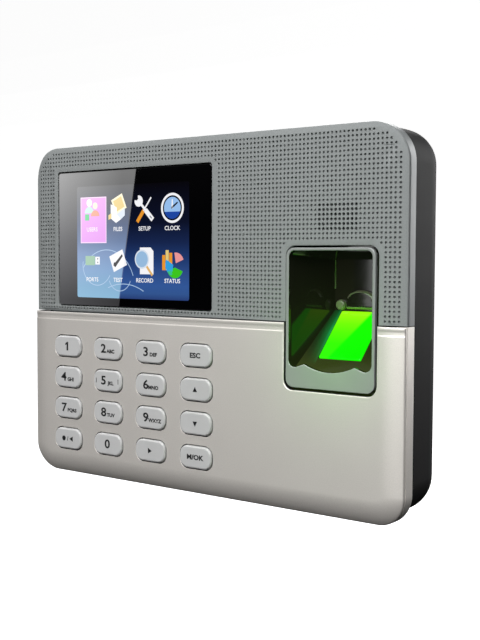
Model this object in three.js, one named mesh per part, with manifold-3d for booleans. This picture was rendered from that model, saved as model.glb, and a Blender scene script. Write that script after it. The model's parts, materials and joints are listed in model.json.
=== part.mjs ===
// A wall-mounted fingerprint scanner terminal: two front covers and a rear housing that hang on a
// steel wall plate, with a colour display, a sixteen-key keypad and a lit finger well.
// Millimetres, +Z up. The face looks along -Y, and the origin is the middle of the wall plate's
// back face, which lies on the wall at y = 0.
import * as THREE from "three";
import Module from "manifold-3d";
import { mergeVertices } from "three/addons/utils/BufferGeometryUtils.js";

const wasm = await Module();
wasm.setup();

// ---------------------------------------------------------------- driving dimensions

const FACE_WIDTH = 170; // outline of the face
const FACE_HEIGHT = 128.5;
const CORNER_RADIUS = 13;
const LOWER_EDGE = { z: -65.3, radius: 10.5 }; // the lower cover's bottom, a little below the housing
const GAP = 0.3; // clearance between pieces that touch on the real object
const WALL = 2.2; // moulded wall thickness

// Depths, from the wall (0) to the face (negative).
const PLATE_FRONT = -1.5; // wall plate
const HOUSING_BACK = -2;
const HOUSING_STRAIGHT = -12; // where the housing's sides begin to round towards its back
const HOUSING_FRONT = -23.7;
const HOUSING_INSET = 0.5; // how far the housing stands inside the covers' outline
const HOUSING_DRAFT = 0.2;
const HOUSING_ROUND = 8; // reach of the rounding towards the back
const COVER_BACK = -24; // rear edge of both front covers
const UPPER_WALL_BACK = -26.5;
const UPPER_WALL_FRONT = -28.5;
const GRILLE_BACK = -28.8;
const GRILLE_FRONT = -30;
const RIM = { front: -29.2, inset: 0.35 }; // thin rim of the upper cover, round the grille plate
const LOWER_WALL_BACK = -29;
const LOWER_FRONT = -31;
const SPLIT_HEIGHT = -0.4; // height of the joint between the upper and the lower cover

const SIDE_ROLL = { reach: 7, drop: 0.8 }; // how the lower cover's face falls back at its sides
const BOTTOM_ROLL = { reach: 12, drop: 3.5 }; // and at its bottom

const DISPLAY = { x: -32.2, z: 26.9, width: 57.6, height: 43.2 }; // 2.8 inch active area
const LENS = { x: -32.2, z: 28.2, width: 78.3, height: 52.4, radius: 1.2, front: -29.8 };
const MODULE = { x0: -63.9, x1: 5.2, z0: 1.9, z1: 51.9 }; // outline of the display module

const KEY_PITCH = { x: 22, z: 12.33 };
const KEY_FIRST = { x: -65, z: -14.3 }; // centre of the upper left key
const KEY = { width: 14.8, height: 8.2, radius: 3.4, front: -31.8, clearance: 0.3 };
const KEY_FLANGE = { margin: 1.1, front: -28.7, back: -27.9 };
const KEY_PLUNGER = { width: 9, height: 3.6, back: -26.8 };
const KEY_NAMES = [
  ["key_1", "key_2", "key_3", "key_esc"],
  ["key_4", "key_5", "key_6", "key_up"],
  ["key_7", "key_8", "key_9", "key_down"],
  ["key_power_left", "key_0", "key_right", "key_ok"],
];
const KEYPAD = { x0: -73.9, x1: 10.5, z0: -57.5, z1: -8.5 }; // outline of the mat and its board

const WELL_X = 57; // middle of the finger well
const SURROUND = { width: 34.6, height: 47.05, radius: 3, z: 0.875, front: -30.4, back: -29.2 };
const COVER_OPENING = { x0: 39.35, x1: 75.35, z0: -23.5, z1: 25.1, radius: 3.5 }; // round the surround
const WELL_MOUTH = { halfWidth: 16.1, top: 23.35, bottom: -20 };
const WELL_BACK = { halfWidth: 11.3, top: 20.5, y: -8.7 };
const WELL_WALL = 1.2;
const MOUTH_CORNER = 2;
const LOBE = { radius: 2.4, floor: -15.7 }; // the mouth's lower corners
const SCALLOP = { halfWidth: 9.8, peak: -14.5, dip: -16.8 }; // the fingertip's dip between them
const GLASS = { width: 16.3, length: 21.2, thickness: 2.4, proud: 0.3 };
const GLASS_MIDDLE = { y: -16.4, z: -5.1 };
const GLASS_SLOPE = THREE.MathUtils.degToRad(45.8);

const SPEAKER = { x: 59.7, z: 34.4, width: 30, height: 16, radius: 4, front: -26.2, back: -20.2 };
const SPEAKER_HOLES = { columns: 10, rows: 6, pitch: { x: 1.565, z: 1.56 }, radius: 0.5 };

const BOARD = { x0: -74, x1: 34, z0: -37.5, z1: 33, front: -18.6, back: -17 };
const BOARD_FIXINGS = [[-70, -33.5], [-70, 29], [29, -33.5], [29, 29]];
const CASE_FIXINGS = [[-77, 56.5], [77, 56.5], [-77, -56.5], [77, -56.5], [-79.5, -6], [79.5, -6]];
const POST_JOINT = -14; // where the housing's posts meet the covers' bosses
const POST_RADIUS = 3.6;
const BOSS_RADIUS = 2.8;
const SCREW_RADIUS = 1.2;
const PILOT_RADIUS = 1.5;

const BAY = { x0: -40, x1: 34, front: -21, top: -40, wall: 2 }; // recess for the plugs
const SOCKET_FACE = BAY.top - GAP;
const SOCKET_FRONT = BOARD.back + GAP;
const NETWORK = { x: -28, width: 16, depth: 12, length: 21 };
const USB = { x: -3, width: 14, depth: 7, length: 14.3 };
const POWER = { x: 18.7, width: 9.4, depth: 11, length: 14, bore: 3.2, pin: 1.05 };

const LIP = {
  thickness: 1.15,
  front: -25.6,
  topFront: -26.2,
  back: -20,
  top: [-55, 55], // along X
  bottom: [[-70, -46], [40, 70]],
  sides: [[-40, -14], [6, 40]], // along Z
};

const PLATE = { x0: -58, x1: 58, z0: -40, z1: 44, radius: 5 };
const PLATE_HOLES = [[-50, 38], [50, 38], [-50, -34], [40, -34]];
const HOOKS = [[-42, 30], [42, 30], [-42, -18], [42, -18]];
const HOOK = { halfWidth: 4, rise: 4, thickness: 1.5, back: -4.4 };
const LOCK = { x: 55, y: -12, headBottom: -63.2, tip: -46, seat: -60.9, blockTop: -57.5 };
const LOCK_TAB = { halfWidth: 6, top: -50.5, reach: -16 };
const TAMPER = { x: 12, z: 12, switchSize: 6, switchBack: -11.7, plungerRadius: 1.8, holeRadius: 2.3 };

// Routes of the flat cables, as [x, y] points.
const FLEX_THICKNESS = 0.25;
const DISPLAY_FLEX = [
  [5.55, -26], [7.2, -25.7], [8.3, -24.4], [8.5, -22.6],
  [7.4, -20.8], [4.5, -19.5], [0, -19.05], [-6, -19.05],
];
const KEYPAD_FLEX = [
  [-9, -23.25], [-4.5, -23.1], [-2.4, -22.3], [-1.8, -21.1], [-2.6, -19.9], [-5, -19.15], [-11, -19.05],
];
const SENSOR_CABLE = [[22, -19.1], [33, -19.1], [36, -18.2], [38.2, -16.2], [41, -15.6], [60, -15.6]];
const SPEAKER_LEAD = [
  [47, -19.8, 28.1], [46.6, -17.6, 28.1], [44, -15.4, 28], [39.5, -14.4, 27.4],
  [34, -14.2, 25], [28, -14.8, 22.4], [25, -15.6, 21.4], [24, -16.5, 21],
];
const LEAD_RADIUS = 0.8;

// ---------------------------------------------------------------- solids

const { Manifold } = wasm;

function solid(geometry, matrix) {
  const loose = geometry.index ? geometry.toNonIndexed() : geometry;
  const bare = new THREE.BufferGeometry();
  bare.setAttribute("position", loose.getAttribute("position").clone());
  if (matrix) bare.applyMatrix4(matrix);
  const merged = mergeVertices(bare, 1e-4);
  return new Manifold(
    new wasm.Mesh({
      numProp: 3,
      vertProperties: merged.attributes.position.array,
      triVerts: new Uint32Array(merged.index.array),
    }),
  );
}

function geometryOf(manifold) {
  const { vertProperties, triVerts } = manifold.getMesh();
  const geometry = new THREE.BufferGeometry()
    .setAttribute("position", new THREE.BufferAttribute(new Float32Array(vertProperties), 3))
    .setIndex(new THREE.BufferAttribute(new Uint32Array(triVerts), 1));
  geometry.computeVertexNormals();
  return geometry;
}

function box(x0, x1, y0, y1, z0, z1, matrix) {
  const block = new THREE.BoxGeometry(x1 - x0, y1 - y0, z1 - z0);
  return solid(block.translate((x0 + x1) / 2, (y0 + y1) / 2, (z0 + z1) / 2), matrix);
}

const rodAlongY = (x, z, radius, y0, y1, sides = 12) =>
  solid(new THREE.CylinderGeometry(radius, radius, y1 - y0, sides).translate(x, (y0 + y1) / 2, z));

const rodAlongZ = (x, y, radius, z0, z1, sides = 16) =>
  solid(
    new THREE.CylinderGeometry(radius, radius, z1 - z0, sides)
      .rotateX(Math.PI / 2)
      .translate(x, y, (z0 + z1) / 2),
  );

function roundedRect(x, z, width, height, radius) {
  const [left, right, low, high] = [x - width / 2, x + width / 2, z - height / 2, z + height / 2];
  const shape = new THREE.Shape();
  shape.absarc(right - radius, high - radius, radius, 0, Math.PI / 2);
  shape.absarc(left + radius, high - radius, radius, Math.PI / 2, Math.PI);
  shape.absarc(left + radius, low + radius, radius, Math.PI, 1.5 * Math.PI);
  shape.absarc(right - radius, low + radius, radius, 1.5 * Math.PI, 2 * Math.PI);
  shape.closePath();
  return shape;
}

// A shape drawn in X and Z, from depth y0 to depth y1. Each round corner gets 2 * curve edges.
function prismAlongY(shape, y0, y1, curve = 2) {
  const settings = { depth: y1 - y0, bevelEnabled: false, curveSegments: curve };
  return solid(new THREE.ExtrudeGeometry(shape, settings).rotateX(Math.PI / 2).translate(0, y1, 0));
}

// A closed outline of [y, z] points, from x0 to x1.
function prismAlongX(outline, x0, x1) {
  const shape = new THREE.Shape(outline.map(([y, z]) => new THREE.Vector2(y, z)));
  const [x, y, z] = [new THREE.Vector3(1, 0, 0), new THREE.Vector3(0, 1, 0), new THREE.Vector3(0, 0, 1)];
  const turn = new THREE.Matrix4().makeBasis(y, z, x).setPosition(x0, 0, 0);
  return solid(new THREE.ExtrudeGeometry(shape, { depth: x1 - x0, bevelEnabled: false }), turn);
}

// A closed outline of [x, y] points, from z0 to z1.
function prismAlongZ(outline, z0, z1) {
  const shape = new THREE.Shape(outline.map(([x, y]) => new THREE.Vector2(x, y)));
  const block = new THREE.ExtrudeGeometry(shape, { depth: z1 - z0, bevelEnabled: false });
  return solid(block.translate(0, 0, z0));
}

// Skins rounded rectangles of different sizes, one at each level's depth, into one closed body.
function loft(levels, cornerEdges = 5) {
  const positions = [];
  for (const { y, x0, x1, z0, z1, radius } of levels) {
    const corners = [
      [x1 - radius, z1 - radius],
      [x0 + radius, z1 - radius],
      [x0 + radius, z0 + radius],
      [x1 - radius, z0 + radius],
    ];
    corners.forEach(([cx, cz], quarter) => {
      for (let i = 0; i <= cornerEdges; i++) {
        const angle = ((quarter + i / cornerEdges) * Math.PI) / 2;
        positions.push(cx + radius * Math.cos(angle), y, cz + radius * Math.sin(angle));
      }
    });
  }
  const ring = 4 * (cornerEdges + 1);
  const index = [];
  for (let level = 0; level + 1 < levels.length; level++)
    for (let i = 0; i < ring; i++) {
      const [a, b] = [level * ring + i, level * ring + ((i + 1) % ring)];
      index.push(a, b, b + ring, a, b + ring, a + ring);
    }
  const last = (levels.length - 1) * ring;
  for (let i = 1; i + 1 < ring; i++) {
    index.push(0, i + 1, i);
    index.push(last, last + i, last + i + 1);
  }
  const geometry = new THREE.BufferGeometry()
    .setAttribute("position", new THREE.Float32BufferAttribute(positions, 3))
    .setIndex(index);
  const made = solid(geometry);
  return made.volume() > 0 ? made : solid(flipped(geometry));
}

function flipped(geometry) {
  const index = geometry.getIndex().array.slice();
  for (let i = 0; i < index.length; i += 3) [index[i + 1], index[i + 2]] = [index[i + 2], index[i + 1]];
  return geometry.clone().setIndex(new THREE.BufferAttribute(index, 1));
}

// The face's outline drawn in by inset, at depth y.
const outlineLevel = (y, inset) => ({
  y,
  x0: -FACE_WIDTH / 2 + inset,
  x1: FACE_WIDTH / 2 - inset,
  z0: -FACE_HEIGHT / 2 + inset,
  z1: FACE_HEIGHT / 2 - inset,
  radius: CORNER_RADIUS - inset,
});

const union = (...solids) => solids.reduce((whole, next) => whole.add(next));

// A flat strip that follows [x, y] points, thick in that plane and running from z0 to z1.
function ribbon(points, thickness, z0, z1) {
  const path = points.map(([x, y]) => new THREE.Vector2(x, y));
  const side = path.map((point, i) => {
    const along = path[Math.min(i + 1, path.length - 1)].clone().sub(path[Math.max(i - 1, 0)]).normalize();
    return new THREE.Vector2(-along.y, along.x).multiplyScalar(thickness / 2);
  });
  const left = path.map((point, i) => point.clone().add(side[i]));
  const right = path.map((point, i) => point.clone().sub(side[i])).reverse();
  return prismAlongZ([...left, ...right].map((p) => [p.x, p.y]), z0, z1);
}

// ---------------------------------------------------------------- the scene graph

const terminal = new THREE.Group();

const material = (color, roughness, metalness = 0) =>
  new THREE.MeshStandardMaterial({ color, roughness, metalness });
const FINISH = {
  silverPaint: material(0xb9b5b1, 0.38, 0.6),
  greyPlastic: material(0x8c9191, 0.5),
  blackPlastic: material(0x2a2b2c, 0.6),
  glossBlack: material(0x060606, 0.08),
  keyPlastic: material(0xc2c1bf, 0.5),
  rubber: material(0xb0b0ae, 0.8),
  glass: material(0x19e020, 0.05),
  steel: material(0x9a9c9e, 0.35, 1),
  board: material(0x1d6b3a, 0.5),
  ribbonFilm: material(0xb5762a, 0.5),
  white: material(0xe8e8e4, 0.5),
  brass: material(0xb08d3a, 0.35, 1),
};

function place(name, shape, finish, parent = terminal) {
  const mesh = new THREE.Mesh(shape.isBufferGeometry ? shape : geometryOf(shape), finish);
  mesh.name = name;
  parent.add(mesh);
  return mesh;
}

// ---------------------------------------------------------------- housing and covers

// The opening for the surround in both covers and in the grille plate, or its outline grown by a margin.
function coverOpening(margin = 0) {
  const { x0, x1, z0, z1, radius } = COVER_OPENING;
  const [width, height] = [x1 - x0 + 2 * margin, z1 - z0 + 2 * margin];
  return roundedRect((x0 + x1) / 2, (z0 + z1) / 2, width, height, radius + margin);
}

const boss = ([x, z], from) => rodAlongY(x, z, BOSS_RADIUS, from, POST_JOINT - GAP, 10);
const bossPilot = ([x, z], from) => rodAlongY(x, z, PILOT_RADIUS, from, POST_JOINT, 8);

// A lip inside the covers' wall, on a root that joins it to the housing's own wall. The wall's inner
// face is at the place called wall, across Z if the lip runs along X, or across X.
function rimLip(span, wall, alongX, front) {
  const out = Math.sign(wall);
  const across = (from, to) => [wall + out * from, wall + out * to].sort((a, b) => a - b);
  const slab = (y0, width) =>
    alongX ? box(...span, y0, LIP.back, ...width) : box(...width, y0, LIP.back, ...span);
  return slab(front, across(-LIP.thickness, 0.05)).add(slab(HOUSING_FRONT + GAP, across(-1, 1)));
}

function rearHousing() {
  const inset = HOUSING_INSET;
  const rounding = [];
  for (let i = 1; i <= 5; i++) {
    const angle = (i * Math.PI) / 10;
    const y = HOUSING_STRAIGHT + (HOUSING_BACK - HOUSING_STRAIGHT) * Math.sin(angle);
    rounding.push(outlineLevel(y, inset + HOUSING_DRAFT + HOUSING_ROUND * (1 - Math.cos(angle))));
  }
  const shell = loft([
    outlineLevel(HOUSING_FRONT, inset),
    outlineLevel(HOUSING_STRAIGHT, inset + HOUSING_DRAFT),
    ...rounding,
  ]);
  const hollow = loft([
    outlineLevel(HOUSING_FRONT - 5, inset + WALL),
    outlineLevel(HOUSING_STRAIGHT, inset + WALL),
    outlineLevel(HOUSING_STRAIGHT + 5, inset + WALL + 1.6),
    outlineLevel(HOUSING_BACK - 2, inset + WALL + 7),
  ]);
  const { wall } = BAY;
  const bottom = -FACE_HEIGHT / 2;
  const blocks = union(
    box(BAY.x0 - wall, BAY.x1 + wall, BAY.front - wall, HOUSING_BACK, bottom, BAY.top + wall),
    box(LOCK.x - 5, LOCK.x + 5, LOCK.y - 4, HOUSING_BACK, bottom, LOCK.blockTop),
    ...CASE_FIXINGS.map(([x, z]) => rodAlongY(x, z, POST_RADIUS, POST_JOINT, -4)),
  );
  const standoffBack = HOUSING_BACK - 1; // inside the back wall's thickness
  const standoffs = BOARD_FIXINGS.map(([x, z]) => rodAlongY(x, z, 3, BOARD.back + GAP, standoffBack));
  const [top, side] = [FACE_HEIGHT / 2 - WALL - inset, FACE_WIDTH / 2 - WALL - inset];
  const lips = [
    rimLip(LIP.top, top, true, LIP.topFront),
    ...LIP.bottom.map((span) => rimLip(span, -top, true, LIP.front)),
    ...LIP.sides.flatMap((span) => [-side, side].map((at) => rimLip(span, at, false, LIP.front))),
  ];

  const cuts = [box(BAY.x0, BAY.x1, BAY.front, 1, 2 * bottom, BAY.top)];
  for (const [x, z] of CASE_FIXINGS) {
    cuts.push(rodAlongY(x, z, 3, -10, 1));
    cuts.push(rodAlongY(x, z, 1.6, POST_JOINT - 1, -9, 8));
  }
  for (const [x, z] of BOARD_FIXINGS) cuts.push(rodAlongY(x, z, PILOT_RADIUS, BOARD.back - 1, -8, 8));
  for (const { x, width, depth } of [NETWORK, USB, POWER])
    cuts.push(socketBody({ x, width, depth, length: 8 }, GAP, SOCKET_FACE - 3));
  const slot = HOOK.halfWidth + 0.6;
  for (const [x, z] of HOOKS) cuts.push(box(x - slot, x + slot, -7, 1, z - 6, z + GAP));
  const pocket = LOCK_TAB.halfWidth + 0.6;
  cuts.push(box(LOCK.x - pocket, LOCK.x + pocket, -5, 1, LOCK_TAB.top - 2.1, LOCK_TAB.top + 0.6));
  cuts.push(rodAlongZ(LOCK.x, LOCK.y, 2.9, bottom - 1, LOCK.seat, 12));
  cuts.push(rodAlongZ(LOCK.x, LOCK.y, 1.6, bottom - 1, LOCK.blockTop + 1, 10));
  cuts.push(rodAlongY(TAMPER.x, TAMPER.z, TAMPER.holeRadius, -6, 1));
  const body = shell.subtract(hollow).add(blocks.intersect(shell));
  return union(body, ...standoffs, ...lips).subtract(union(...cuts));
}

function upperCover() {
  const outer = loft([outlineLevel(RIM.front, 0), outlineLevel(COVER_BACK, 0)]);
  const hollow = union(
    loft([outlineLevel(UPPER_WALL_BACK, WALL), outlineLevel(COVER_BACK + 3, WALL)]),
    loft([outlineLevel(RIM.front - 1, RIM.inset), outlineLevel(UPPER_WALL_FRONT, RIM.inset)]),
  );
  const aboveSplit = box(-FACE_WIDTH, FACE_WIDTH, -60, 10, SPLIT_HEIGHT, FACE_HEIGHT);
  const tongue = box(-76, 76, UPPER_WALL_FRONT, UPPER_WALL_BACK, -5, SPLIT_HEIGHT + 1);
  const bosses = CASE_FIXINGS.slice(0, 2).map((at) => boss(at, UPPER_WALL_BACK - 0.5));
  const whole = union(outer.subtract(hollow).intersect(aboveSplit), tongue, ...bosses);
  const cuts = [
    prismAlongY(coverOpening(), -40, -20),
    box(MODULE.x0 - 0.4, MODULE.x1 + 0.4, -40, -20, MODULE.z0 - 0.4, MODULE.z1 + 0.4),
    prismAlongY(roundedRect(SPEAKER.x, SPEAKER.z, 18, 11, 2), -40, -20, 1),
    ...CASE_FIXINGS.slice(0, 2).map((at) => bossPilot(at, -24)),
  ];
  return whole.subtract(union(...cuts));
}

const keyCentre = (row, column) => [KEY_FIRST.x + column * KEY_PITCH.x, KEY_FIRST.z - row * KEY_PITCH.z];

function forEachKey(visit) {
  KEY_NAMES.forEach((names, row) => names.forEach((name, column) => visit(name, ...keyCentre(row, column))));
}

function lowerCover() {
  const { z: bottom, radius } = LOWER_EDGE;
  const level = (y, inset) => ({ ...outlineLevel(y, inset), z0: bottom + inset, radius: radius - inset });
  const creased = loft([
    level(LOWER_FRONT, 0.5),
    level(LOWER_FRONT + 1.2, 0.5),
    level(LOWER_FRONT + 1.6, 0),
    level(COVER_BACK, 0),
  ]);
  const steps = 5;
  const sideRoll = [[FACE_WIDTH, COVER_BACK], [FACE_WIDTH, LOWER_FRONT + SIDE_ROLL.drop]];
  for (let i = 0; i <= steps; i++) {
    const x = FACE_WIDTH / 2 - (SIDE_ROLL.reach * i) / steps;
    sideRoll.push([x, LOWER_FRONT + SIDE_ROLL.drop * (1 - i / steps) ** 2]);
  }
  const mirrored = sideRoll.map(([x, y]) => [-x, y]).reverse();
  const bottomRoll = [[COVER_BACK, 0], [LOWER_FRONT, 0]];
  for (let i = 0; i <= steps; i++) {
    const z = bottom + BOTTOM_ROLL.reach * (1 - i / steps);
    bottomRoll.push([LOWER_FRONT + BOTTOM_ROLL.drop * (i / steps) ** 2, z]);
  }
  bottomRoll.push([LOWER_FRONT + BOTTOM_ROLL.drop, -FACE_HEIGHT], [COVER_BACK, -FACE_HEIGHT]);
  const outer = creased
    .intersect(prismAlongZ([...sideRoll, ...mirrored], -FACE_HEIGHT, 0))
    .intersect(prismAlongX(bottomRoll, -FACE_WIDTH, FACE_WIDTH))
    .intersect(box(-FACE_WIDTH, FACE_WIDTH, -60, 10, -FACE_HEIGHT, SPLIT_HEIGHT - GAP));
  const innerFloor = [
    [-20, 5],
    [LOWER_WALL_BACK, 5],
    [LOWER_WALL_BACK, -58.5],
    [-26.4, -62.2],
    [-20, -62.2],
  ];
  const hollow = loft([outlineLevel(-40, WALL), outlineLevel(-20, WALL)]).intersect(
    prismAlongX(innerFloor, -FACE_WIDTH, FACE_WIDTH),
  );
  const fixings = CASE_FIXINGS.slice(2);
  const bosses = fixings.map(([x, z]) => boss([x, z], LOWER_WALL_BACK - 0.4));
  const cuts = [
    prismAlongY(coverOpening(), -40, -20),
    ...fixings.map((at) => bossPilot(at, -24)),
  ];
  const clear = 2 * KEY.clearance;
  forEachKey((name, x, z) => {
    const hole = roundedRect(x, z, KEY.width + clear, KEY.height + clear, KEY.radius + KEY.clearance);
    cuts.push(prismAlongY(hole, -40, -28));
  });
  return union(outer.subtract(hollow), ...bosses).subtract(union(...cuts));
}

function grillePlate() {
  const plate = loft([
    outlineLevel(GRILLE_FRONT, 0),
    outlineLevel(GRILLE_FRONT + 0.4, 0),
    outlineLevel(GRILLE_BACK, 1),
  ]);
  const lensOpening = roundedRect(LENS.x, LENS.z, LENS.width + 2 * GAP, LENS.height + 2 * GAP, LENS.radius);
  const cuts = [
    box(-FACE_WIDTH, FACE_WIDTH, -60, 10, -FACE_HEIGHT, SPLIT_HEIGHT),
    prismAlongY(lensOpening, -40, -20, 1),
    prismAlongY(coverOpening(), -40, -20),
  ];
  const { columns, rows, pitch, radius } = SPEAKER_HOLES;
  for (let column = 0; column < columns; column++)
    for (let row = 0; row < rows; row++) {
      const x = SPEAKER.x + (column - (columns - 1) / 2) * pitch.x;
      const z = SPEAKER.z + (row - (rows - 1) / 2) * pitch.z;
      cuts.push(rodAlongY(x, z, radius, -40, -20, 6));
    }
  return plate.subtract(union(...cuts));
}

function wallPlate() {
  const { x0, x1, z0, z1, radius } = PLATE;
  const outline = roundedRect((x0 + x1) / 2, (z0 + z1) / 2, x1 - x0, z1 - z0, radius);
  const { halfWidth, top, reach } = LOCK_TAB;
  const [left, right, under] = [LOCK.x - halfWidth, LOCK.x + halfWidth, top - HOOK.thickness];
  const hooks = HOOKS.flatMap(([x, z]) => {
    const [low, high, tip] = [x - HOOK.halfWidth, x + HOOK.halfWidth, HOOK.back - HOOK.thickness];
    const arm = box(low, high, tip, -1, z - HOOK.thickness, z);
    return [arm, box(low, high, tip, HOOK.back, z - 0.5, z + HOOK.rise)];
  });
  const sheet = union(
    prismAlongY(outline, PLATE_FRONT, 0, 1),
    box(left, right, PLATE_FRONT, 0, under, z0 + 8),
    box(left, right, reach, PLATE_FRONT + 0.5, under, top),
    ...hooks,
  );
  const screwHoles = PLATE_HOLES.map(([x, z]) => rodAlongY(x, z, 2.3, -3, 1, 12));
  return sheet.subtract(union(...screwHoles, rodAlongZ(LOCK.x, LOCK.y, 1.6, top - 5, top + 5, 12)));
}

// ---------------------------------------------------------------- display

function buildDisplay() {
  const lens = roundedRect(LENS.x, LENS.z, LENS.width, LENS.height, LENS.radius);
  place("display_lens", prismAlongY(lens, LENS.front, GRILLE_BACK, 1), FINISH.glossBlack);
  const { x0, x1, z0, z1 } = MODULE;
  place("display_panel", box(x0, x1, -28.5, -27.2, z0, z1), FINISH.glossBlack);
  place("display_backlight", box(x0, x1, -26.9, -24.9, z0, z1), FINISH.white);
  const frame = box(x0 - 3, x1 - 2.2, -24.6, -23.6, z0 + 1, z1 + 3);
  place("display_bracket", frame.subtract(box(-56, -8, -30, -20, 12, 44)), FINISH.steel);
  place("display_flex", ribbon(DISPLAY_FLEX, FLEX_THICKNESS, 18, 36), FINISH.ribbonFilm);
}

// ---------------------------------------------------------------- keypad

function keySolid() {
  const { width, height, radius, front } = KEY;
  const edge = 0.5;
  const cap = loft(
    [
      { y: front, inset: edge * 1.3 },
      { y: front + edge * 0.4, inset: edge * 0.4 },
      { y: front + edge * 1.4, inset: 0 },
      { y: KEY_FLANGE.back, inset: 0 },
    ].map(({ y, inset }) => ({
      y,
      x0: -width / 2 + inset,
      x1: width / 2 - inset,
      z0: -height / 2 + inset,
      z1: height / 2 - inset,
      radius: radius - inset,
    })),
    2,
  );
  const reach = 2 * KEY_FLANGE.margin;
  const flange = prismAlongY(
    roundedRect(0, 0, width + reach, height + reach, radius),
    KEY_FLANGE.front,
    KEY_FLANGE.back,
    1,
  );
  const plunger = box(
    -KEY_PLUNGER.width / 2,
    KEY_PLUNGER.width / 2,
    KEY_FLANGE.back - 0.5,
    KEY_PLUNGER.back,
    -KEY_PLUNGER.height / 2,
    KEY_PLUNGER.height / 2,
  );
  return union(cap, flange, plunger);
}

function buildKeypad() {
  const keys = new THREE.Group();
  terminal.add(keys);
  const keyShape = geometryOf(keySolid());
  forEachKey((name, x, z) => place(name, keyShape, FINISH.keyPlastic, keys).position.set(x, 0, z));

  const { x0, x1, z0, z1 } = KEYPAD;
  const holes = [];
  forEachKey((name, x, z) => holes.push(box(x - 6, x + 6, -30, -20, z - 3, z + 3)));
  place("keypad_mat", box(x0, x1, -26.4, -25.6, z0, z1).subtract(union(...holes)), FINISH.rubber);
  place("keypad_board", box(x0, x1, -25.3, -23.7, z0, z1), FINISH.board);
  place("keypad_flex", ribbon(KEYPAD_FLEX, FLEX_THICKNESS, -34, -24), FINISH.ribbonFilm);
}

// ---------------------------------------------------------------- finger well and sensor

// The outline of the surround's opening: square at the top, with a dip for the finger below.
function surroundMouth() {
  const { halfWidth, top } = WELL_MOUTH;
  const { radius, floor } = LOBE;
  const { peak, dip } = SCALLOP;
  const [left, right, corner] = [WELL_X - halfWidth, WELL_X + halfWidth, MOUTH_CORNER];
  const shape = new THREE.Shape();
  shape.absarc(right - corner, top - corner, corner, 0, Math.PI / 2);
  shape.absarc(left + corner, top - corner, corner, Math.PI / 2, Math.PI);
  shape.absarc(left + radius, floor + radius, radius, Math.PI, 1.6 * Math.PI);
  shape.lineTo(WELL_X - SCALLOP.halfWidth, peak);
  shape.quadraticCurveTo(WELL_X, 2 * dip - peak, WELL_X + SCALLOP.halfWidth, peak);
  shape.absarc(right - radius, floor + radius, radius, 1.4 * Math.PI, 2 * Math.PI);
  shape.closePath();
  return shape;
}

function sensorSurround() {
  const { width, height, radius, z, front, back } = SURROUND;
  const ring = prismAlongY(roundedRect(WELL_X, z, width, height, radius), front, back, 2);
  return ring.subtract(prismAlongY(surroundMouth(), -40, -20, 3));
}

// Places a solid from the glass's own frame: x across, y up the slope, z out of the glass.
const sensorFrame = new THREE.Matrix4()
  .makeRotationX(GLASS_SLOPE)
  .setPosition(WELL_X, GLASS_MIDDLE.y, GLASS_MIDDLE.z);

const inSensorFrame = (...sides) => box(...sides, sensorFrame);

function fingerWell() {
  const front = SURROUND.back + GAP;
  const level = (y, spec, grow) => ({
    y,
    x0: WELL_X - spec.halfWidth - grow,
    x1: WELL_X + spec.halfWidth + grow,
    z0: WELL_MOUTH.bottom - grow,
    z1: spec.top + grow,
    radius: 2 + grow / 2,
  });
  const backOuter = WELL_BACK.y + WELL_WALL;
  const outer = loft([level(front, WELL_MOUTH, WELL_WALL), level(backOuter, WELL_BACK, WELL_WALL)], 3);
  const hollow = loft([level(front - 1, WELL_MOUTH, 0), level(WELL_BACK.y, WELL_BACK, 0)], 3);
  const aboveSlope = inSensorFrame(-40, 40, -60, 60, 0, 80);
  const aboveUnderside = inSensorFrame(-40, 40, -60, 60, -1.8, 80);
  const flange = prismAlongY(
    coverOpening(1),
    UPPER_WALL_BACK + GAP,
    UPPER_WALL_BACK + GAP + 1.2,
    1,
  );
  const body = outer.intersect(aboveUnderside).add(flange);
  const glassOpening = inSensorFrame(
    -GLASS.width / 2 - GAP,
    GLASS.width / 2 + GAP,
    -GLASS.length / 2 - GAP,
    GLASS.length / 2 + GAP,
    -6,
    3,
  );
  return body.subtract(hollow.intersect(aboveSlope)).subtract(glassOpening.intersect(outer));
}

function buildSensor() {
  place("sensor_surround", sensorSurround(), FINISH.greyPlastic);
  place("finger_well", fingerWell(), FINISH.glossBlack);

  const module = new THREE.Group();
  module.rotation.x = GLASS_SLOPE;
  module.position.set(WELL_X, GLASS_MIDDLE.y, GLASS_MIDDLE.z);
  terminal.add(module);

  const glassBack = GLASS.proud - GLASS.thickness;
  const slab = (halfWidth, low, high, back, front) => box(-halfWidth, halfWidth, low, high, back, front);
  const halfLength = GLASS.length / 2;
  const glass = slab(GLASS.width / 2, -halfLength, halfLength, glassBack, GLASS.proud);
  place("sensor_glass", glass, FINISH.glass, module);
  const lightFront = glassBack - GAP;
  place("sensor_light_panel", slab(7.6, -9.8, 9.8, lightFront - 1, lightFront), FINISH.white, module);
  const housingFront = lightFront - 1 - GAP;
  const housing = slab(9, -10.5, 5, -10, housingFront).subtract(slab(7.8, -9.3, 3.8, -8.8, housingFront + 1));
  place("sensor_housing", housing, FINISH.blackPlastic, module);
  const barrel = new THREE.CylinderGeometry(2.6, 3, 4, 16).rotateX(Math.PI / 2).translate(0, -2.7, -6.4);
  place("sensor_camera", solid(barrel), FINISH.glossBlack, module);
  place("sensor_board", slab(9, -10.5, 4, -11.9, -10.3), FINISH.board, module);

  place("sensor_cable", ribbon(SENSOR_CABLE, FLEX_THICKNESS, -27.8, -21.4), FINISH.ribbonFilm);
}

// ---------------------------------------------------------------- speaker

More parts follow.
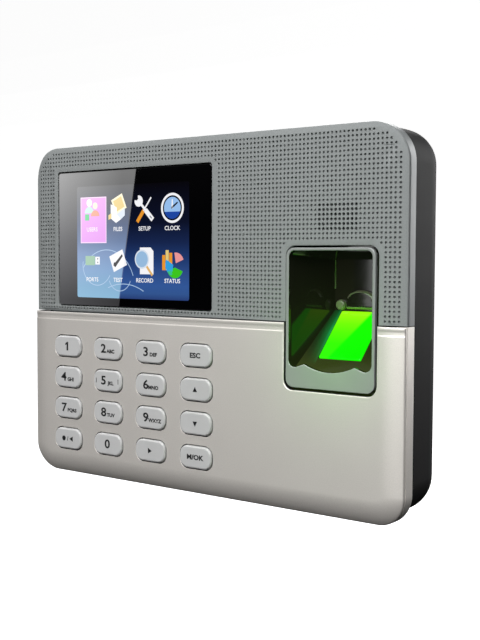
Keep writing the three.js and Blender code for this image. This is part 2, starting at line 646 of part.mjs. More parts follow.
function buildSpeaker() {
  const { x, z, width, height, radius, front, back } = SPEAKER;
  const body = prismAlongY(roundedRect(x, z, width, height, radius), front, back, 1);
  place("speaker", body, FINISH.blackPlastic);
  const [left, right, low, high] = [x - width / 2 - 3, x + width / 2 + 3, z - 4.5, z + 4.5];
  const clip = union(
    box(left, right, back + GAP, back + GAP + 1.2, low, high),
    box(left, left + 2.4, front, back + 1, low, high),
    box(right - 2.4, right, front, back + 1, low, high),
  );
  place("speaker_clip", clip, FINISH.blackPlastic);
  const route = new THREE.CatmullRomCurve3(SPEAKER_LEAD.map((point) => new THREE.Vector3(...point)));
  const section = new THREE.Shape().absarc(0, 0, LEAD_RADIUS, 0, 2 * Math.PI);
  const lead = new THREE.ExtrudeGeometry(section, { steps: 16, curveSegments: 4, extrudePath: route });
  place("speaker_lead", solid(lead), FINISH.blackPlastic);
}

// ---------------------------------------------------------------- main board

function socketBody({ x, width, depth, length }, grow, face) {
  return box(
    x - width / 2 - grow,
    x + width / 2 + grow,
    SOCKET_FRONT - grow,
    SOCKET_FRONT + depth + grow,
    face,
    face + length,
  );
}

function networkSocket() {
  const { x } = NETWORK;
  const low = SOCKET_FACE - 1;
  const cavity = box(x - 5.9, x + 5.9, SOCKET_FRONT + 1.4, SOCKET_FRONT + 8.6, low, SOCKET_FACE + 14);
  const latch = box(x - 3, x + 3, SOCKET_FRONT + 8, SOCKET_FRONT + 10.4, low, SOCKET_FACE + 9);
  return socketBody(NETWORK, 0, SOCKET_FACE).subtract(union(cavity, latch));
}

function usbSocket() {
  const { x } = USB;
  const [low, high] = [SOCKET_FACE - 1, SOCKET_FACE + 11];
  const cavity = box(x - 6.25, x + 6.25, SOCKET_FRONT + 0.9, SOCKET_FRONT + 6.05, low, high);
  const tongue = box(x - 5.5, x + 5.5, SOCKET_FRONT + 1.7, SOCKET_FRONT + 3.5, SOCKET_FACE + 1, high + 1);
  return socketBody(USB, 0, SOCKET_FACE).subtract(cavity).add(tongue);
}

function powerSocket() {
  const { x, bore, pin, depth } = POWER;
  const y = SOCKET_FRONT + depth / 2;
  const hole = rodAlongZ(x, y, bore, SOCKET_FACE - 1, SOCKET_FACE + 9);
  const contact = rodAlongZ(x, y, pin, SOCKET_FACE + 0.8, SOCKET_FACE + 10, 10);
  return socketBody(POWER, 0, SOCKET_FACE).subtract(hole).add(contact);
}

function buildBoard() {
  const { x0, x1, z0, z1, front, back } = BOARD;
  const holes = BOARD_FIXINGS.map(([x, z]) => rodAlongY(x, z, 1.6, -25, -10, 8));
  place("main_board", box(x0, x1, front, back, z0, z1).subtract(union(...holes)), FINISH.board);
  const onBoard = front - GAP;
  place("processor_chip", box(-37, -23, onBoard - 1.1, onBoard, -14, 0), FINISH.blackPlastic);
  const cell = { x: -54, z: -24, radius: 6.2 };
  const holder = rodAlongY(cell.x, cell.z, cell.radius + 1.6, onBoard - 2.6, onBoard, 20);
  const seat = rodAlongY(cell.x, cell.z, cell.radius + GAP, onBoard - 4.7, onBoard - 0.5, 20);
  place("cell_holder", holder.subtract(seat), FINISH.blackPlastic);
  place("coin_cell", rodAlongY(cell.x, cell.z, cell.radius, onBoard - 2.7, onBoard - 0.8, 20), FINISH.steel);
  place("network_socket", networkSocket(), FINISH.steel);
  place("usb_socket", usbSocket(), FINISH.steel);
  place("power_socket", powerSocket(), FINISH.blackPlastic);

  const { x, z, switchSize, switchBack, plungerRadius } = TAMPER;
  const half = switchSize / 2;
  const switchBody = box(x - half, x + half, back + GAP, switchBack, z - half, z + half);
  place("tamper_switch", switchBody, FINISH.blackPlastic);
  const plunger = rodAlongY(x, z, plungerRadius, switchBack + 1.3, PLATE_FRONT - GAP, 14);
  place("tamper_plunger", plunger, FINISH.white);
}

// ---------------------------------------------------------------- screws

// A screw standing on its tip at the origin, with its head up the Y axis.
function screwShape(length, headRadius, headHeight) {
  const shank = rodAlongY(0, 0, SCREW_RADIUS, 0, length + 0.2, 8);
  const head = rodAlongY(0, 0, headRadius, length, length + headHeight, 10);
  return geometryOf(shank.add(head));
}

function buildScrews() {
  const caseScrew = screwShape(12, 2.6, 2);
  CASE_FIXINGS.forEach(([x, z], i) => {
    place(`case_screw_${i + 1}`, caseScrew, FINISH.steel).position.set(x, -9.7 - 12, z);
  });
  const boardScrew = screwShape(6, 2.4, 1.5);
  BOARD_FIXINGS.forEach(([x, z], i) => {
    const mesh = place(`board_screw_${i + 1}`, boardScrew, FINISH.steel);
    mesh.rotation.x = Math.PI;
    mesh.position.set(x, BOARD.front - GAP + 6, z);
  });
  const lockLength = LOCK.tip - LOCK.headBottom - 2;
  const lock = place("lock_screw", screwShape(lockLength, 2.4, 2), FINISH.steel);
  lock.rotation.x = -Math.PI / 2;
  lock.position.set(LOCK.x, LOCK.y, LOCK.tip);
}

// ---------------------------------------------------------------- assembly

place("rear_housing", rearHousing(), FINISH.blackPlastic);
place("wall_plate", wallPlate(), FINISH.steel);
place("upper_cover", upperCover(), FINISH.greyPlastic);
place("lower_cover", lowerCover(), FINISH.silverPaint);
place("grille_plate", grillePlate(), FINISH.greyPlastic);
buildDisplay();
buildKeypad();
buildSensor();
buildSpeaker();
buildBoard();
buildScrews();

export default terminal;
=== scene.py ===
"""A wall-mounted fingerprint scanner terminal, given its finished shapes and surfaces.

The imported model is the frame. Lengths are in metres, X is to the right as seen from the front,
Z is up, and the face looks along -Y.
"""

import json
import math

import bmesh
import bpy
from mathutils import Matrix, Vector


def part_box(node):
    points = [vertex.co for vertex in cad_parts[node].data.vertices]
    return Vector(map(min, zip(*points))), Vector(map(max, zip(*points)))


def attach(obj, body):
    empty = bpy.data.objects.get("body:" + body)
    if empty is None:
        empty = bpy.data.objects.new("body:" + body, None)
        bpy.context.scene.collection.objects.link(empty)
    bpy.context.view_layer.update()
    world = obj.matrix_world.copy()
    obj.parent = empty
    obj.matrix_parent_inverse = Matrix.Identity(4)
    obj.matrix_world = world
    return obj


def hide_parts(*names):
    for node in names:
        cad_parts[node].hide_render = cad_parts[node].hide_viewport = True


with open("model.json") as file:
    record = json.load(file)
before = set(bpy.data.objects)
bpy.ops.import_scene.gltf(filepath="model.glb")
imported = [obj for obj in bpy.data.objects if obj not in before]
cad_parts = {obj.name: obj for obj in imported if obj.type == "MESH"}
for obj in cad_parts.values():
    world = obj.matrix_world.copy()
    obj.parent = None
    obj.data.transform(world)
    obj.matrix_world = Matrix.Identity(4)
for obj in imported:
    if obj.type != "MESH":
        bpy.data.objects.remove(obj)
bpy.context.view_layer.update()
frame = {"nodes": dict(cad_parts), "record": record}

MM = 0.001

# ---------------------------------------------------------------- sizes taken from the frame

UPPER_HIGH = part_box("upper_cover")[1]
LOWER_LOW, LOWER_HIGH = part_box("lower_cover")
GRILLE_LOW, GRILLE_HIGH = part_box("grille_plate")
LENS_LOW, LENS_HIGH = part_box("display_lens")
SURROUND_LOW, SURROUND_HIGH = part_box("sensor_surround")
SPEAKER_LOW, SPEAKER_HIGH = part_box("speaker")

HALF_WIDTH = UPPER_HIGH.x
HALF_HEIGHT = UPPER_HIGH.z
CORNER = 13 * MM
COVER_BACK = -24 * MM
GRILLE_FRONT = GRILLE_LOW.y
GRILLE_BACK = GRILLE_HIGH.y
LOWER_FRONT = LOWER_LOW.y
WALL = 2.2 * MM
OPENING_LOW, OPENING_HIGH = Vector((39.35, 0, -23.5)) * MM, Vector((75.35, 0, 25.1)) * MM
OPENING_RADIUS = 3.5 * MM
LOWER_CORNER = 10.5 * MM
WELL_MIDDLE = (SURROUND_LOW.x + SURROUND_HIGH.x) / 2
SLOPE = math.radians(45.8)
GLASS_MIDDLE = Vector((WELL_MIDDLE, -16.4 * MM, -5.1 * MM))
ON_SLOPE = Matrix.Translation(GLASS_MIDDLE) @ Matrix.Rotation(SLOPE, 4, "X")

KEY_NAMES = [
    ["key_1", "key_2", "key_3", "key_esc"],
    ["key_4", "key_5", "key_6", "key_up"],
    ["key_7", "key_8", "key_9", "key_down"],
    ["key_power_left", "key_0", "key_right", "key_ok"],
]
KEY_SIZE = (14.8 * MM, 8.2 * MM)
KEY_CORNER = 3.4 * MM


def middle(node):
    low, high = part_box(node)
    return (low + high) / 2


# ---------------------------------------------------------------- meshes


def rounded_rect(x0, x1, z0, z1, radius, steps=12):
    """Points round a rounded rectangle, anticlockwise from the front: (x, z, outward x, outward z)."""
    centres = [
        (x1 - radius, z1 - radius),
        (x0 + radius, z1 - radius),
        (x0 + radius, z0 + radius),
        (x1 - radius, z0 + radius),
    ]
    points = []
    for quarter, (cx, cz) in enumerate(centres):
        for i in range(steps + 1):
            angle = (quarter + i / steps) * math.pi / 2
            c, s = math.cos(angle), math.sin(angle)
            points.append((cx + radius * c, cz + radius * s, c, s))
    return points


def case_outline(steps=16):
    return rounded_rect(-HALF_WIDTH, HALF_WIDTH, -HALF_HEIGHT, HALF_HEIGHT, CORNER, steps)


def lower_outline(steps=16):
    return rounded_rect(-HALF_WIDTH, HALF_WIDTH, LOWER_LOW.z, HALF_HEIGHT, LOWER_CORNER, steps)


def ring(outline, y, inset=0.0):
    return [Vector((x - nx * inset, y, z - nz * inset)) for x, z, nx, nz in outline]


def rect_ring(x0, x1, z0, z1, radius, y, steps=12):
    return ring(rounded_rect(x0, x1, z0, z1, radius, steps), y)


def polygon_ring(points, y, grow=0.0):
    """A ring from (x, z) points in order, grown outward along each point's own normal."""
    result = []
    count = len(points)
    for i, (x, z) in enumerate(points):
        before, after = points[i - 1], points[(i + 1) % count]
        along = Vector((after[0] - before[0], after[1] - before[1]))
        normal = Vector((along.y, -along.x)).normalized()
        result.append(Vector((x + normal.x * grow, y, z + normal.y * grow)))
    return result


def as_object(name, mesh, materials=()):
    piece = bpy.data.objects.new(name, mesh)
    bpy.context.scene.collection.objects.link(piece)
    for material in materials:
        mesh.materials.append(material)
    return piece


def closed_mesh(name, vertices, faces):
    mesh = bpy.data.meshes.new(name)
    mesh.from_pydata(vertices, [], faces)
    work = bmesh.new()
    work.from_mesh(mesh)
    bmesh.ops.remove_doubles(work, verts=work.verts, dist=1e-7)
    bmesh.ops.recalc_face_normals(work, faces=work.faces)
    work.to_mesh(mesh)
    work.free()
    return mesh


def skin_faces(start, count, levels):
    """Faces of one closed body through rings of count points, whose first vertex has index start."""
    faces = []
    for level in range(levels - 1):
        base = start + level * count
        for i in range(count):
            j = (i + 1) % count
            faces.append((base + i, base + j, base + count + j, base + count + i))
    last = start + (levels - 1) * count
    faces.append(tuple(range(start, start + count)))
    faces.append(tuple(range(last, last + count)))
    return faces


def loft(name, rings, materials=()):
    """One closed body skinned through rings of points, all of one length."""
    vertices = [point for points in rings for point in points]
    faces = skin_faces(0, len(rings[0]), len(rings))
    return as_object(name, closed_mesh(name, vertices, faces), materials)


def lofts(name, bodies, materials=()):
    """Several closed bodies in one mesh, each skinned through its own rings."""
    vertices, faces = [], []
    for rings in bodies:
        faces += skin_faces(len(vertices), len(rings[0]), len(rings))
        vertices += [point for points in rings for point in points]
    return as_object(name, closed_mesh(name, vertices, faces), materials)


def box_rings(x0, x1, y0, y1, z0, z1):
    corners = [(x1, z1), (x0, z1), (x0, z0), (x1, z0)]
    return [[Vector((x, y, z)) for x, z in corners] for y in (y0, y1)]


def circle_points(x, z, radius, count):
    turn = 2 * math.pi / count
    return [(x + radius * math.cos(i * turn), z + radius * math.sin(i * turn)) for i in range(count)]


def rod_rings(x, z, radius, y0, y1, count=24):
    points = circle_points(x, z, radius, count)
    return [[Vector((px, y, pz)) for px, pz in points] for y in (y0, y1)]


def turned(rings, matrix):
    return [[matrix @ point for point in points] for points in rings]


def along_z(rings, x, y, z):
    """Rings made round the Y axis, turned to stand along Z at a place."""
    return turned(rings, Matrix.Translation((x, y, z)) @ Matrix.Rotation(math.pi / 2, 4, "X"))


def settle(piece):
    """Replaces the piece's mesh with the result of its modifiers."""
    bpy.context.view_layer.update()
    graph = bpy.context.evaluated_depsgraph_get()
    mesh = bpy.data.meshes.new_from_object(piece.evaluated_get(graph))
    piece.modifiers.clear()
    piece.data = mesh


def combine(piece, *others, how="DIFFERENCE"):
    """Cuts the others out of the piece, joins them to it, or keeps what they share with it."""
    for other in others:
        modifier = piece.modifiers.new(how, "BOOLEAN")
        modifier.operation = how
        modifier.solver = "MANIFOLD"
        modifier.object = other
    settle(piece)
    for other in others:
        bpy.data.objects.remove(other)
    return piece


def shade(piece, angle=32, weighted=True):
    """Smooth shading that keeps the edges sharper than the angle, with normals true to the large faces."""
    for polygon in piece.data.polygons:
        polygon.use_smooth = True
    piece.data.set_sharp_from_angle(angle=math.radians(angle))
    if weighted:
        modifier = piece.modifiers.new("weighted", "WEIGHTED_NORMAL")
        modifier.keep_sharp = True
        modifier.weight = 80
    return piece


def round_edges(piece, width, segments=2, angle=35):
    modifier = piece.modifiers.new("rounded", "BEVEL")
    modifier.width = width
    modifier.segments = segments
    modifier.limit_method = "ANGLE"
    modifier.angle_limit = math.radians(angle)
    modifier.use_clamp_overlap = True
    modifier.harden_normals = True
    return piece


def dress(piece, *materials):
    piece.data.materials.clear()
    for material in materials:
        piece.data.materials.append(material)
    for polygon in piece.data.polygons:
        polygon.material_index = min(polygon.material_index, len(materials) - 1)
    return piece


def finished(piece, body, slot, *nodes):
    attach(piece, body)
    if nodes:
        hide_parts(*nodes)
    return piece


# ---------------------------------------------------------------- materials


def paint(red, green, blue):
    """A display colour of 0 to 255 a channel as the linear colour that shaders take."""
    channels = [value / 255 for value in (red, green, blue)]
    linear = [v / 12.92 if v <= 0.04045 else ((v + 0.055) / 1.055) ** 2.4 for v in channels]
    return (*linear, 1.0)


def scaled(color, factor):
    return (*[channel * factor for channel in color[:3]], 1.0)


class Surface:
    """A material under construction: a Principled shader and the nodes that vary it."""

    def __init__(self, name, color, roughness, metallic=0.0, specular=0.5):
        self.material = bpy.data.materials.new(name)
        self.material.use_nodes = True
        self.nodes = self.material.node_tree.nodes
        self.links = self.material.node_tree.links
        self.shader = self.nodes["Principled BSDF"]
        self.color = color
        self.roughness = roughness
        self.shader.inputs["Base Color"].default_value = color
        self.shader.inputs["Roughness"].default_value = roughness
        self.shader.inputs["Metallic"].default_value = metallic
        self.shader.inputs["Specular IOR Level"].default_value = specular
        self.place = self.nodes.new("ShaderNodeTexCoord").outputs["Object"]

    def noise(self, size, detail=3.0, place=None):
        """A noise whose features are about size metres across."""
        node = self.nodes.new("ShaderNodeTexNoise")
        node.inputs["Scale"].default_value = 1 / size
        node.inputs["Detail"].default_value = detail
        self.links.new(place or self.place, node.inputs["Vector"])
        return node.outputs["Fac"]

    def stretched(self, x, y, z):
        node = self.nodes.new("ShaderNodeMapping")
        node.inputs["Scale"].default_value = (x, y, z)
        self.links.new(self.place, node.inputs["Vector"])
        return node.outputs["Vector"]

    def vary_color(self, source, spread, low=0.3, high=0.7):
        """Runs the colour from a darker to a lighter shade of itself along the source's value."""
        ramp = self.nodes.new("ShaderNodeValToRGB")
        ramp.color_ramp.elements[0].position = low
        ramp.color_ramp.elements[1].position = high
        ramp.color_ramp.elements[0].color = scaled(self.color, 1 - spread)
        ramp.color_ramp.elements[1].color = scaled(self.color, 1 + spread)
        self.links.new(source, ramp.inputs["Fac"])
        self.links.new(ramp.outputs["Color"], self.shader.inputs["Base Color"])
        return self

    def vary_roughness(self, source, spread):
        scale = self.nodes.new("ShaderNodeMapRange")
        scale.inputs["To Min"].default_value = self.roughness - spread
        scale.inputs["To Max"].default_value = self.roughness + spread
        self.links.new(source, scale.inputs["Value"])
        self.links.new(scale.outputs["Result"], self.shader.inputs["Roughness"])
        return self

    def bump(self, source, height):
        node = self.nodes.new("ShaderNodeBump")
        node.inputs["Distance"].default_value = height
        self.links.new(source, node.inputs["Height"])
        self.links.new(node.outputs["Normal"], self.shader.inputs["Normal"])
        return self

    def glow(self, color, strength):
        self.shader.inputs["Emission Color"].default_value = color
        self.shader.inputs["Emission Strength"].default_value = strength
        return self

    def share_along(self, axis, start, end):
        """A value that runs from 0 to 1 along an axis of the frame."""
        split = self.nodes.new("ShaderNodeSeparateXYZ")
        scale = self.nodes.new("ShaderNodeMapRange")
        scale.inputs["From Min"].default_value = start
        scale.inputs["From Max"].default_value = end
        self.links.new(self.place, split.inputs["Vector"])
        self.links.new(split.outputs[axis], scale.inputs["Value"])
        return scale.outputs["Result"]

    def share_across(self, origin, direction, edge, blur):
        """A value that steps from 0 to 1 across a slanting line, at a distance from the origin."""
        offset = self.nodes.new("ShaderNodeVectorMath")
        offset.operation = "SUBTRACT"
        offset.inputs[1].default_value = origin
        along = self.nodes.new("ShaderNodeVectorMath")
        along.operation = "DOT_PRODUCT"
        along.inputs[1].default_value = direction
        scale = self.nodes.new("ShaderNodeMapRange")
        scale.inputs["From Min"].default_value = edge
        scale.inputs["From Max"].default_value = edge + blur
        self.links.new(self.place, offset.inputs[0])
        self.links.new(offset.outputs["Vector"], along.inputs[0])
        self.links.new(along.outputs["Value"], scale.inputs["Value"])
        return scale.outputs["Result"]

    def ramp(self, share, stops):
        """A colour that runs through (position, colour) stops."""
        node = self.nodes.new("ShaderNodeValToRGB")
        elements = node.color_ramp.elements
        for element, (position, color) in zip(elements, (stops[0], stops[-1])):
            element.position = position
            element.color = color
        for position, color in stops[1:-1]:
            elements.new(position).color = color
        self.links.new(share, node.inputs["Fac"])
        return node.outputs["Color"]

    def blend(self, share, first, second):
        """The first colour where the share is 0, and the second where it is 1."""
        node = self.nodes.new("ShaderNodeMix")
        node.data_type = "RGBA"
        self.links.new(share, node.inputs[0])
        self.links.new(first, node.inputs[6])
        self.links.new(second, node.inputs[7])
        return node.outputs[2]

    def light_up(self, color, strength):
        self.links.new(color, self.shader.inputs["Emission Color"])
        self.shader.inputs["Emission Strength"].default_value = strength
        return self


def moulded(name, color, roughness, grain=0.25 * MM, depth=0.004 * MM, spread=0.03, **rest):
    """Moulded plastic: a fine spark-eroded grain, and faint clouds in its colour and gloss."""
    surface = Surface(name, color, roughness, **rest)
    fine = surface.noise(grain, detail=2.0)
    broad = surface.noise(9 * MM, detail=3.0)
    surface.vary_color(broad, spread)
    surface.vary_roughness(broad, 0.03)
    surface.bump(fine, depth)
    return surface.material


def silver_paint():
    """Satin metallic paint: aluminium flakes under a soft clear coat."""
    surface = Surface("silver_paint", paint(237, 232, 226), 0.46, metallic=0.6)
    flakes = surface.noise(0.22 * MM, detail=2.0)
    surface.vary_color(flakes, 0.045, 0.35, 0.65)
    surface.vary_roughness(surface.noise(12 * MM), 0.03)
    surface.bump(surface.noise(0.5 * MM, detail=2.0), 0.003 * MM)
    return surface.material


def grille_plastic():
    """Satin grey plastic with a light metallic fleck."""
    surface = Surface("grille_plastic", paint(141, 145, 145), 0.62, specular=0.3)
    surface.vary_color(surface.noise(0.35 * MM, detail=2.0), 0.07, 0.3, 0.7)
    surface.vary_roughness(surface.noise(10 * MM), 0.03)
    surface.bump(surface.noise(0.3 * MM, detail=2.0), 0.004 * MM)
    return surface.material


def polished(name, color, roughness=0.04, specular=0.6):
    surface = Surface(name, color, roughness, specular=specular)
    surface.vary_roughness(surface.noise(6 * MM), roughness * 0.4)
    surface.shader.inputs["IOR"].default_value = 1.52
    return surface


def sheet_metal(name, color, roughness, along=(1, 1, 14)):
    surface = Surface(name, color, roughness, metallic=1.0)
    brushed = surface.noise(1.2 * MM, detail=4.0, place=surface.stretched(*along))
    surface.vary_color(brushed, 0.08)
    surface.vary_roughness(surface.noise(2.5 * MM), 0.07)
    surface.bump(brushed, 0.004 * MM)
    return surface.material


def circuit_board():
    surface = Surface("circuit_board", paint(24, 92, 52), 0.32)
    traces = surface.nodes.new("ShaderNodeTexBrick")
    traces.inputs["Scale"].default_value = 1 / (3 * MM)
    traces.inputs["Color1"].default_value = paint(24, 92, 52)
    traces.inputs["Color2"].default_value = paint(30, 106, 60)
    traces.inputs["Mortar"].default_value = paint(60, 140, 84)
    traces.inputs["Mortar Size"].default_value = 0.03
    surface.links.new(surface.stretched(1, 1, 1), traces.inputs["Vector"])
    surface.links.new(traces.outputs["Color"], surface.shader.inputs["Base Color"])
    return surface.material


# The slanting line left of which a painted reflection makes the picture paler.
PAINTED_REFLECTION_HALF = {"across": (0.985, 0, -0.171), "edge": -38.9 * MM, "blur": 0.4 * MM}


def lit_picture():
    """The display's background: dark at the top, blue below, and paler left of a slanting line, where a
    softbox's reflection is painted in.
    """
    surface = polished("lit_picture", paint(2, 2, 3), 0.012)
    low, high = PICTURE["z"] - PICTURE["height"] / 2, PICTURE["z"] + PICTURE["height"] / 2
    height = surface.share_along("Z", low, high)
    blue = [
        (0.0, paint(40, 62, 116)),
        (0.05, paint(50, 84, 142)),
        (0.12, paint(50, 86, 150)),
        (0.25, paint(43, 72, 130)),
        (0.34, paint(31, 57, 110)),
        (0.49, paint(21, 36, 75)),
        (0.66, paint(10, 16, 38)),
        (1.0, paint(3, 2, 6)),
    ]
    # Painted reflection: the paler colours used left of the slanting line.
    pale = [
        (0.0, paint(128, 178, 210)),
        (0.1, paint(120, 168, 202)),
        (0.25, paint(118, 156, 198)),
        (0.4, paint(104, 134, 178)),
        (0.5, paint(74, 104, 148)),
        (0.65, paint(28, 62, 108)),
        (0.82, paint(6, 30, 58)),
        (1.0, paint(3, 6, 14)),
    ]
    across = surface.share_across((0, 0, 0), PAINTED_REFLECTION_HALF["across"], PAINTED_REFLECTION_HALF["edge"], PAINTED_REFLECTION_HALF["blur"])
    surface.light_up(surface.blend(across, surface.ramp(height, pale), surface.ramp(height, blue)), 1.0)
    return surface.material


def lit_color(name, color):
    """A flat colour of the lit picture, seen through the polished window."""
    return polished(name, paint(2, 2, 3), 0.012).glow(color, 1.0).material


# The slanting line beyond which a painted reflection turns the glass yellower.
GLASS_REFLECTION = {"across": (-0.926, 0, 0.527), "edge": -0.4 * MM, "blur": 1.2 * MM}


def sensor_green():
    """The sensor's glass, lit green from behind: pure green at its lower right, yellower above a slanting
    line, where a painted reflection lies.
    """
    surface = polished("sensor_green", paint(2, 30, 4), 0.03)
    reflection_share = surface.share_across(GLASS_MIDDLE, GLASS_REFLECTION["across"], GLASS_REFLECTION["edge"], GLASS_REFLECTION["blur"])
    height = surface.share_along("Z", GLASS_MIDDLE.z - 7 * MM, GLASS_MIDDLE.z + 7 * MM)
    green = surface.ramp(height, [(0.0, paint(14, 250, 0)), (1.0, paint(26, 254, 0))])
    stops = [
        (0.0, paint(50, 252, 4)),
        (0.3, paint(56, 253, 4)),
        (0.55, paint(86, 255, 4)),
        (0.75, paint(114, 254, 6)),
        (1.0, paint(156, 253, 16)),
    ]
    surface.light_up(surface.blend(reflection_share, green, surface.ramp(height, stops)), 1.0)
    return surface.material


def well_black():
    """The well's glossy black, with faint painted olive light that collects between its walls, brighter low
    down and darkest at the top.
    """
    surface = polished("well_black", paint(14, 14, 10), 0.055, specular=0.4)
    height = surface.share_along("Z", -20 * MM, 24 * MM)
    stops = [
        (0.0, paint(22, 30, 7)),
        (0.55, paint(15, 17, 8)),
        (0.85, paint(11, 12, 7)),
        (1.0, paint(2, 3, 2)),
    ]
    surface.light_up(surface.ramp(height, stops), 1.0)
    return surface.material


# Where the painted blue-green light on the slope runs, across X from the glass's middle.
SHELF_GLOW = {"from": -15 * MM, "to": -8.4 * MM}


def well_shelf():
    """The slope round the glass: black with painted olive light, and painted blue-green light close to the
    glass's left edge.
    """
    surface = polished("well_shelf", paint(20, 22, 12), 0.12, specular=0.4)
    height = surface.share_along("Z", -18 * MM, 8 * MM)
    olives = [
        (0.0, paint(50, 62, 14)),
        (0.3, paint(34, 42, 10)),
        (0.5, paint(14, 24, 7)),
        (1.0, paint(9, 13, 6)),
    ]
    olive = surface.ramp(height, olives)
    across = surface.share_along("X", WELL_MIDDLE + SHELF_GLOW["from"], WELL_MIDDLE + SHELF_GLOW["to"])
    teal = [
        (0.0, paint(14, 24, 8)),
        (0.45, paint(8, 52, 18)),
        (0.8, paint(6, 104, 44)),
        (1.0, paint(10, 160, 78)),
    ]
    glow = surface.ramp(across, teal)
    none, half, full = (0, 0, 0, 1), (0.5, 0.5, 0.5, 1), (1, 1, 1, 1)
    inside = [(0.12, none), (0.3, half), (0.52, full), (0.75, half), (1.0, none)]
    near_glass = surface.ramp(across, [(0.0, none), (0.3, full), (0.99, full), (1.0, none)])
    lit = surface.blend(near_glass, olive, surface.blend(surface.ramp(height, inside), olive, glow))
    surface.light_up(lit, 1.0)
    return surface.material


PICTURE = {"x": -32.2 * MM, "z": 26.9 * MM, "width": 57.6 * MM, "height": 43.2 * MM}

SILVER = silver_paint()
GRILLE_GREY = grille_plastic()
BAND_GREY = moulded("band_grey", paint(123, 127, 128), 0.42, metallic=0.1)
# Dark grey painted shade for the grille's pits, speaker holes, opening walls and set-back edge.
PIT_SHADE = moulded("pit_shade", paint(30, 32, 33), 0.7)
HOUSING_BLACK = moulded(
    "housing_black", paint(27, 27, 28), 0.6, grain=0.5 * MM, depth=0.02 * MM, specular=0.08
)
SURROUND_GREY = moulded("surround_grey", paint(160, 164, 162), 0.34, metallic=0.2)
KEY_GREY = moulded("key_grey", paint(196, 196, 196), 0.4, grain=0.3 * MM, depth=0.002 * MM)
LEGEND_BLACK = moulded("legend_black", paint(22, 22, 24), 0.5)
# Black of the inner parts and cables, also used as painted shade on the walls of the covers' openings.
INNER_BLACK_AND_SHADE = moulded("inner_black_and_shade", paint(30, 30, 31), 0.6)
PLAIN_WHITE = moulded("plain_white", paint(228, 228, 224), 0.5)
KEY_RUBBER = moulded("key_rubber", paint(170, 170, 168), 0.75)
LENS_BLACK = polished("lens_black", paint(2, 2, 3), 0.012, specular=0.5).material
WELL_BLACK = well_black()
WELL_SHELF = well_shelf()
# A lighter olive satin whose colour is painted highlight and painted green light, for the finger stop's
# edges, the post and the corner bead.
WELL_PAINTED_HIGHLIGHT = moulded("well_painted_highlight", paint(104, 110, 84), 0.32, specular=0.8)
SENSOR_GREEN = sensor_green()
PLATE_ZINC = sheet_metal("plate_zinc", paint(176, 178, 180), 0.38)
SOCKET_TIN = sheet_metal("socket_tin", paint(190, 190, 188), 0.3)
SCREW_STEEL = sheet_metal("screw_steel", paint(120, 120, 122), 0.35, along=(1, 1, 1))
CONTACT_GOLD = sheet_metal("contact_gold", paint(212, 170, 90), 0.28)
BOARD_GREEN = circuit_board()
FILM_AMBER = moulded("film_amber", paint(170, 104, 40), 0.35)

SLOT_MATERIALS = {
    "silver_paint": SILVER,
    "grey_plastic": BAND_GREY,
    "black_housing": HOUSING_BLACK,
    "surround_plastic": SURROUND_GREY,
    "key_plastic": KEY_GREY,
    "key_rubber": KEY_RUBBER,
    "well_gloss": WELL_BLACK,
    "lens_black": LENS_BLACK,
    "sensor_green_glass": SENSOR_GREEN,
    "white_plastic": PLAIN_WHITE,
    "black_inner": INNER_BLACK_AND_SHADE,
    "cable_black": INNER_BLACK_AND_SHADE,
    "board_green": BOARD_GREEN,
    "flex_film": FILM_AMBER,
    "plate_steel": PLATE_ZINC,
    "socket_metal": SOCKET_TIN,
    "cell_steel": SOCKET_TIN,
    "screw_steel": SCREW_STEEL,
}

# ---------------------------------------------------------------- camera, floor and light

CAMERA = {
    "azimuth": 37.34,
    "elevation": 3.28,
    "roll": 0.217,
    "distance": 383.06 * MM,
    "lens": 59.7,
    "right": 15.9 * MM,
    "up": -1.51 * MM,
}


def make_camera():
    azimuth, elevation, roll = (math.radians(CAMERA[k]) for k in ("azimuth", "elevation", "roll"))
    back = Vector(
        (
            math.sin(azimuth) * math.cos(elevation),
            -math.cos(azimuth) * math.cos(elevation),
            math.sin(elevation),
        )
    )
    level = (-back).cross(Vector((0, 0, 1))).normalized()
    upright = level.cross(-back)
    right = level * math.cos(roll) + upright * math.sin(roll)
    up = upright * math.cos(roll) - level * math.sin(roll)
    data = bpy.data.cameras.new("camera")
    data.lens = CAMERA["lens"]
    data.clip_start = 0.01
    camera = bpy.data.objects.new("camera", data)
    bpy.context.scene.collection.objects.link(camera)
    turn = Matrix((right, up, back)).transposed().to_4x4()
    face_centre = Vector((0, GRILLE_FRONT, 0))
    place = face_centre + back * CAMERA["distance"] + right * CAMERA["right"] + up * CAMERA["up"]
    camera.matrix_world = Matrix.Translation(place) @ turn
    bpy.context.scene.camera = camera


def make_floor():
    """A plain pale floor that curves up far behind the terminal."""
    half, back, drop = 4.0, 3.0, -0.26
    profile = [(-back, drop), (back - 1.2, drop)]
    for i in range(1, 13):
        angle = i / 12 * math.pi / 2
        profile.append((back - 1.2 + 1.2 * math.sin(angle), drop + 1.2 * (1 - math.cos(angle))))
    profile.append((back, 4.0))
    vertices = [(x, y, z) for y, z in profile for x in (-half, half)]
    faces = [(2 * i, 2 * i + 1, 2 * i + 3, 2 * i + 2) for i in range(len(profile) - 1)]
    mesh = bpy.data.meshes.new("floor")
    mesh.from_pydata(vertices, [], faces)
    surface = Surface("floor_white", paint(250, 250, 250), 0.9, specular=0.1)
    surface.vary_color(surface.noise(0.5), 0.004)
    surface.glow((1, 1, 1, 1), 0.9)
    floor = as_object("floor", mesh, [surface.material])
    floor.visible_diffuse = False
    floor.visible_glossy = False


def area_light(name, place, target, width, height, power):
    data = bpy.data.lights.new(name, "AREA")
    data.shape = "RECTANGLE"
    data.size = width
    data.size_y = height
    data.energy = power
    light = bpy.data.objects.new(name, data)
    bpy.context.scene.collection.objects.link(light)
    light.location = place
    light.rotation_mode = "QUATERNION"
    light.rotation_quaternion = (Vector(target) - Vector(place)).to_track_quat("-Z", "Y")
    return light


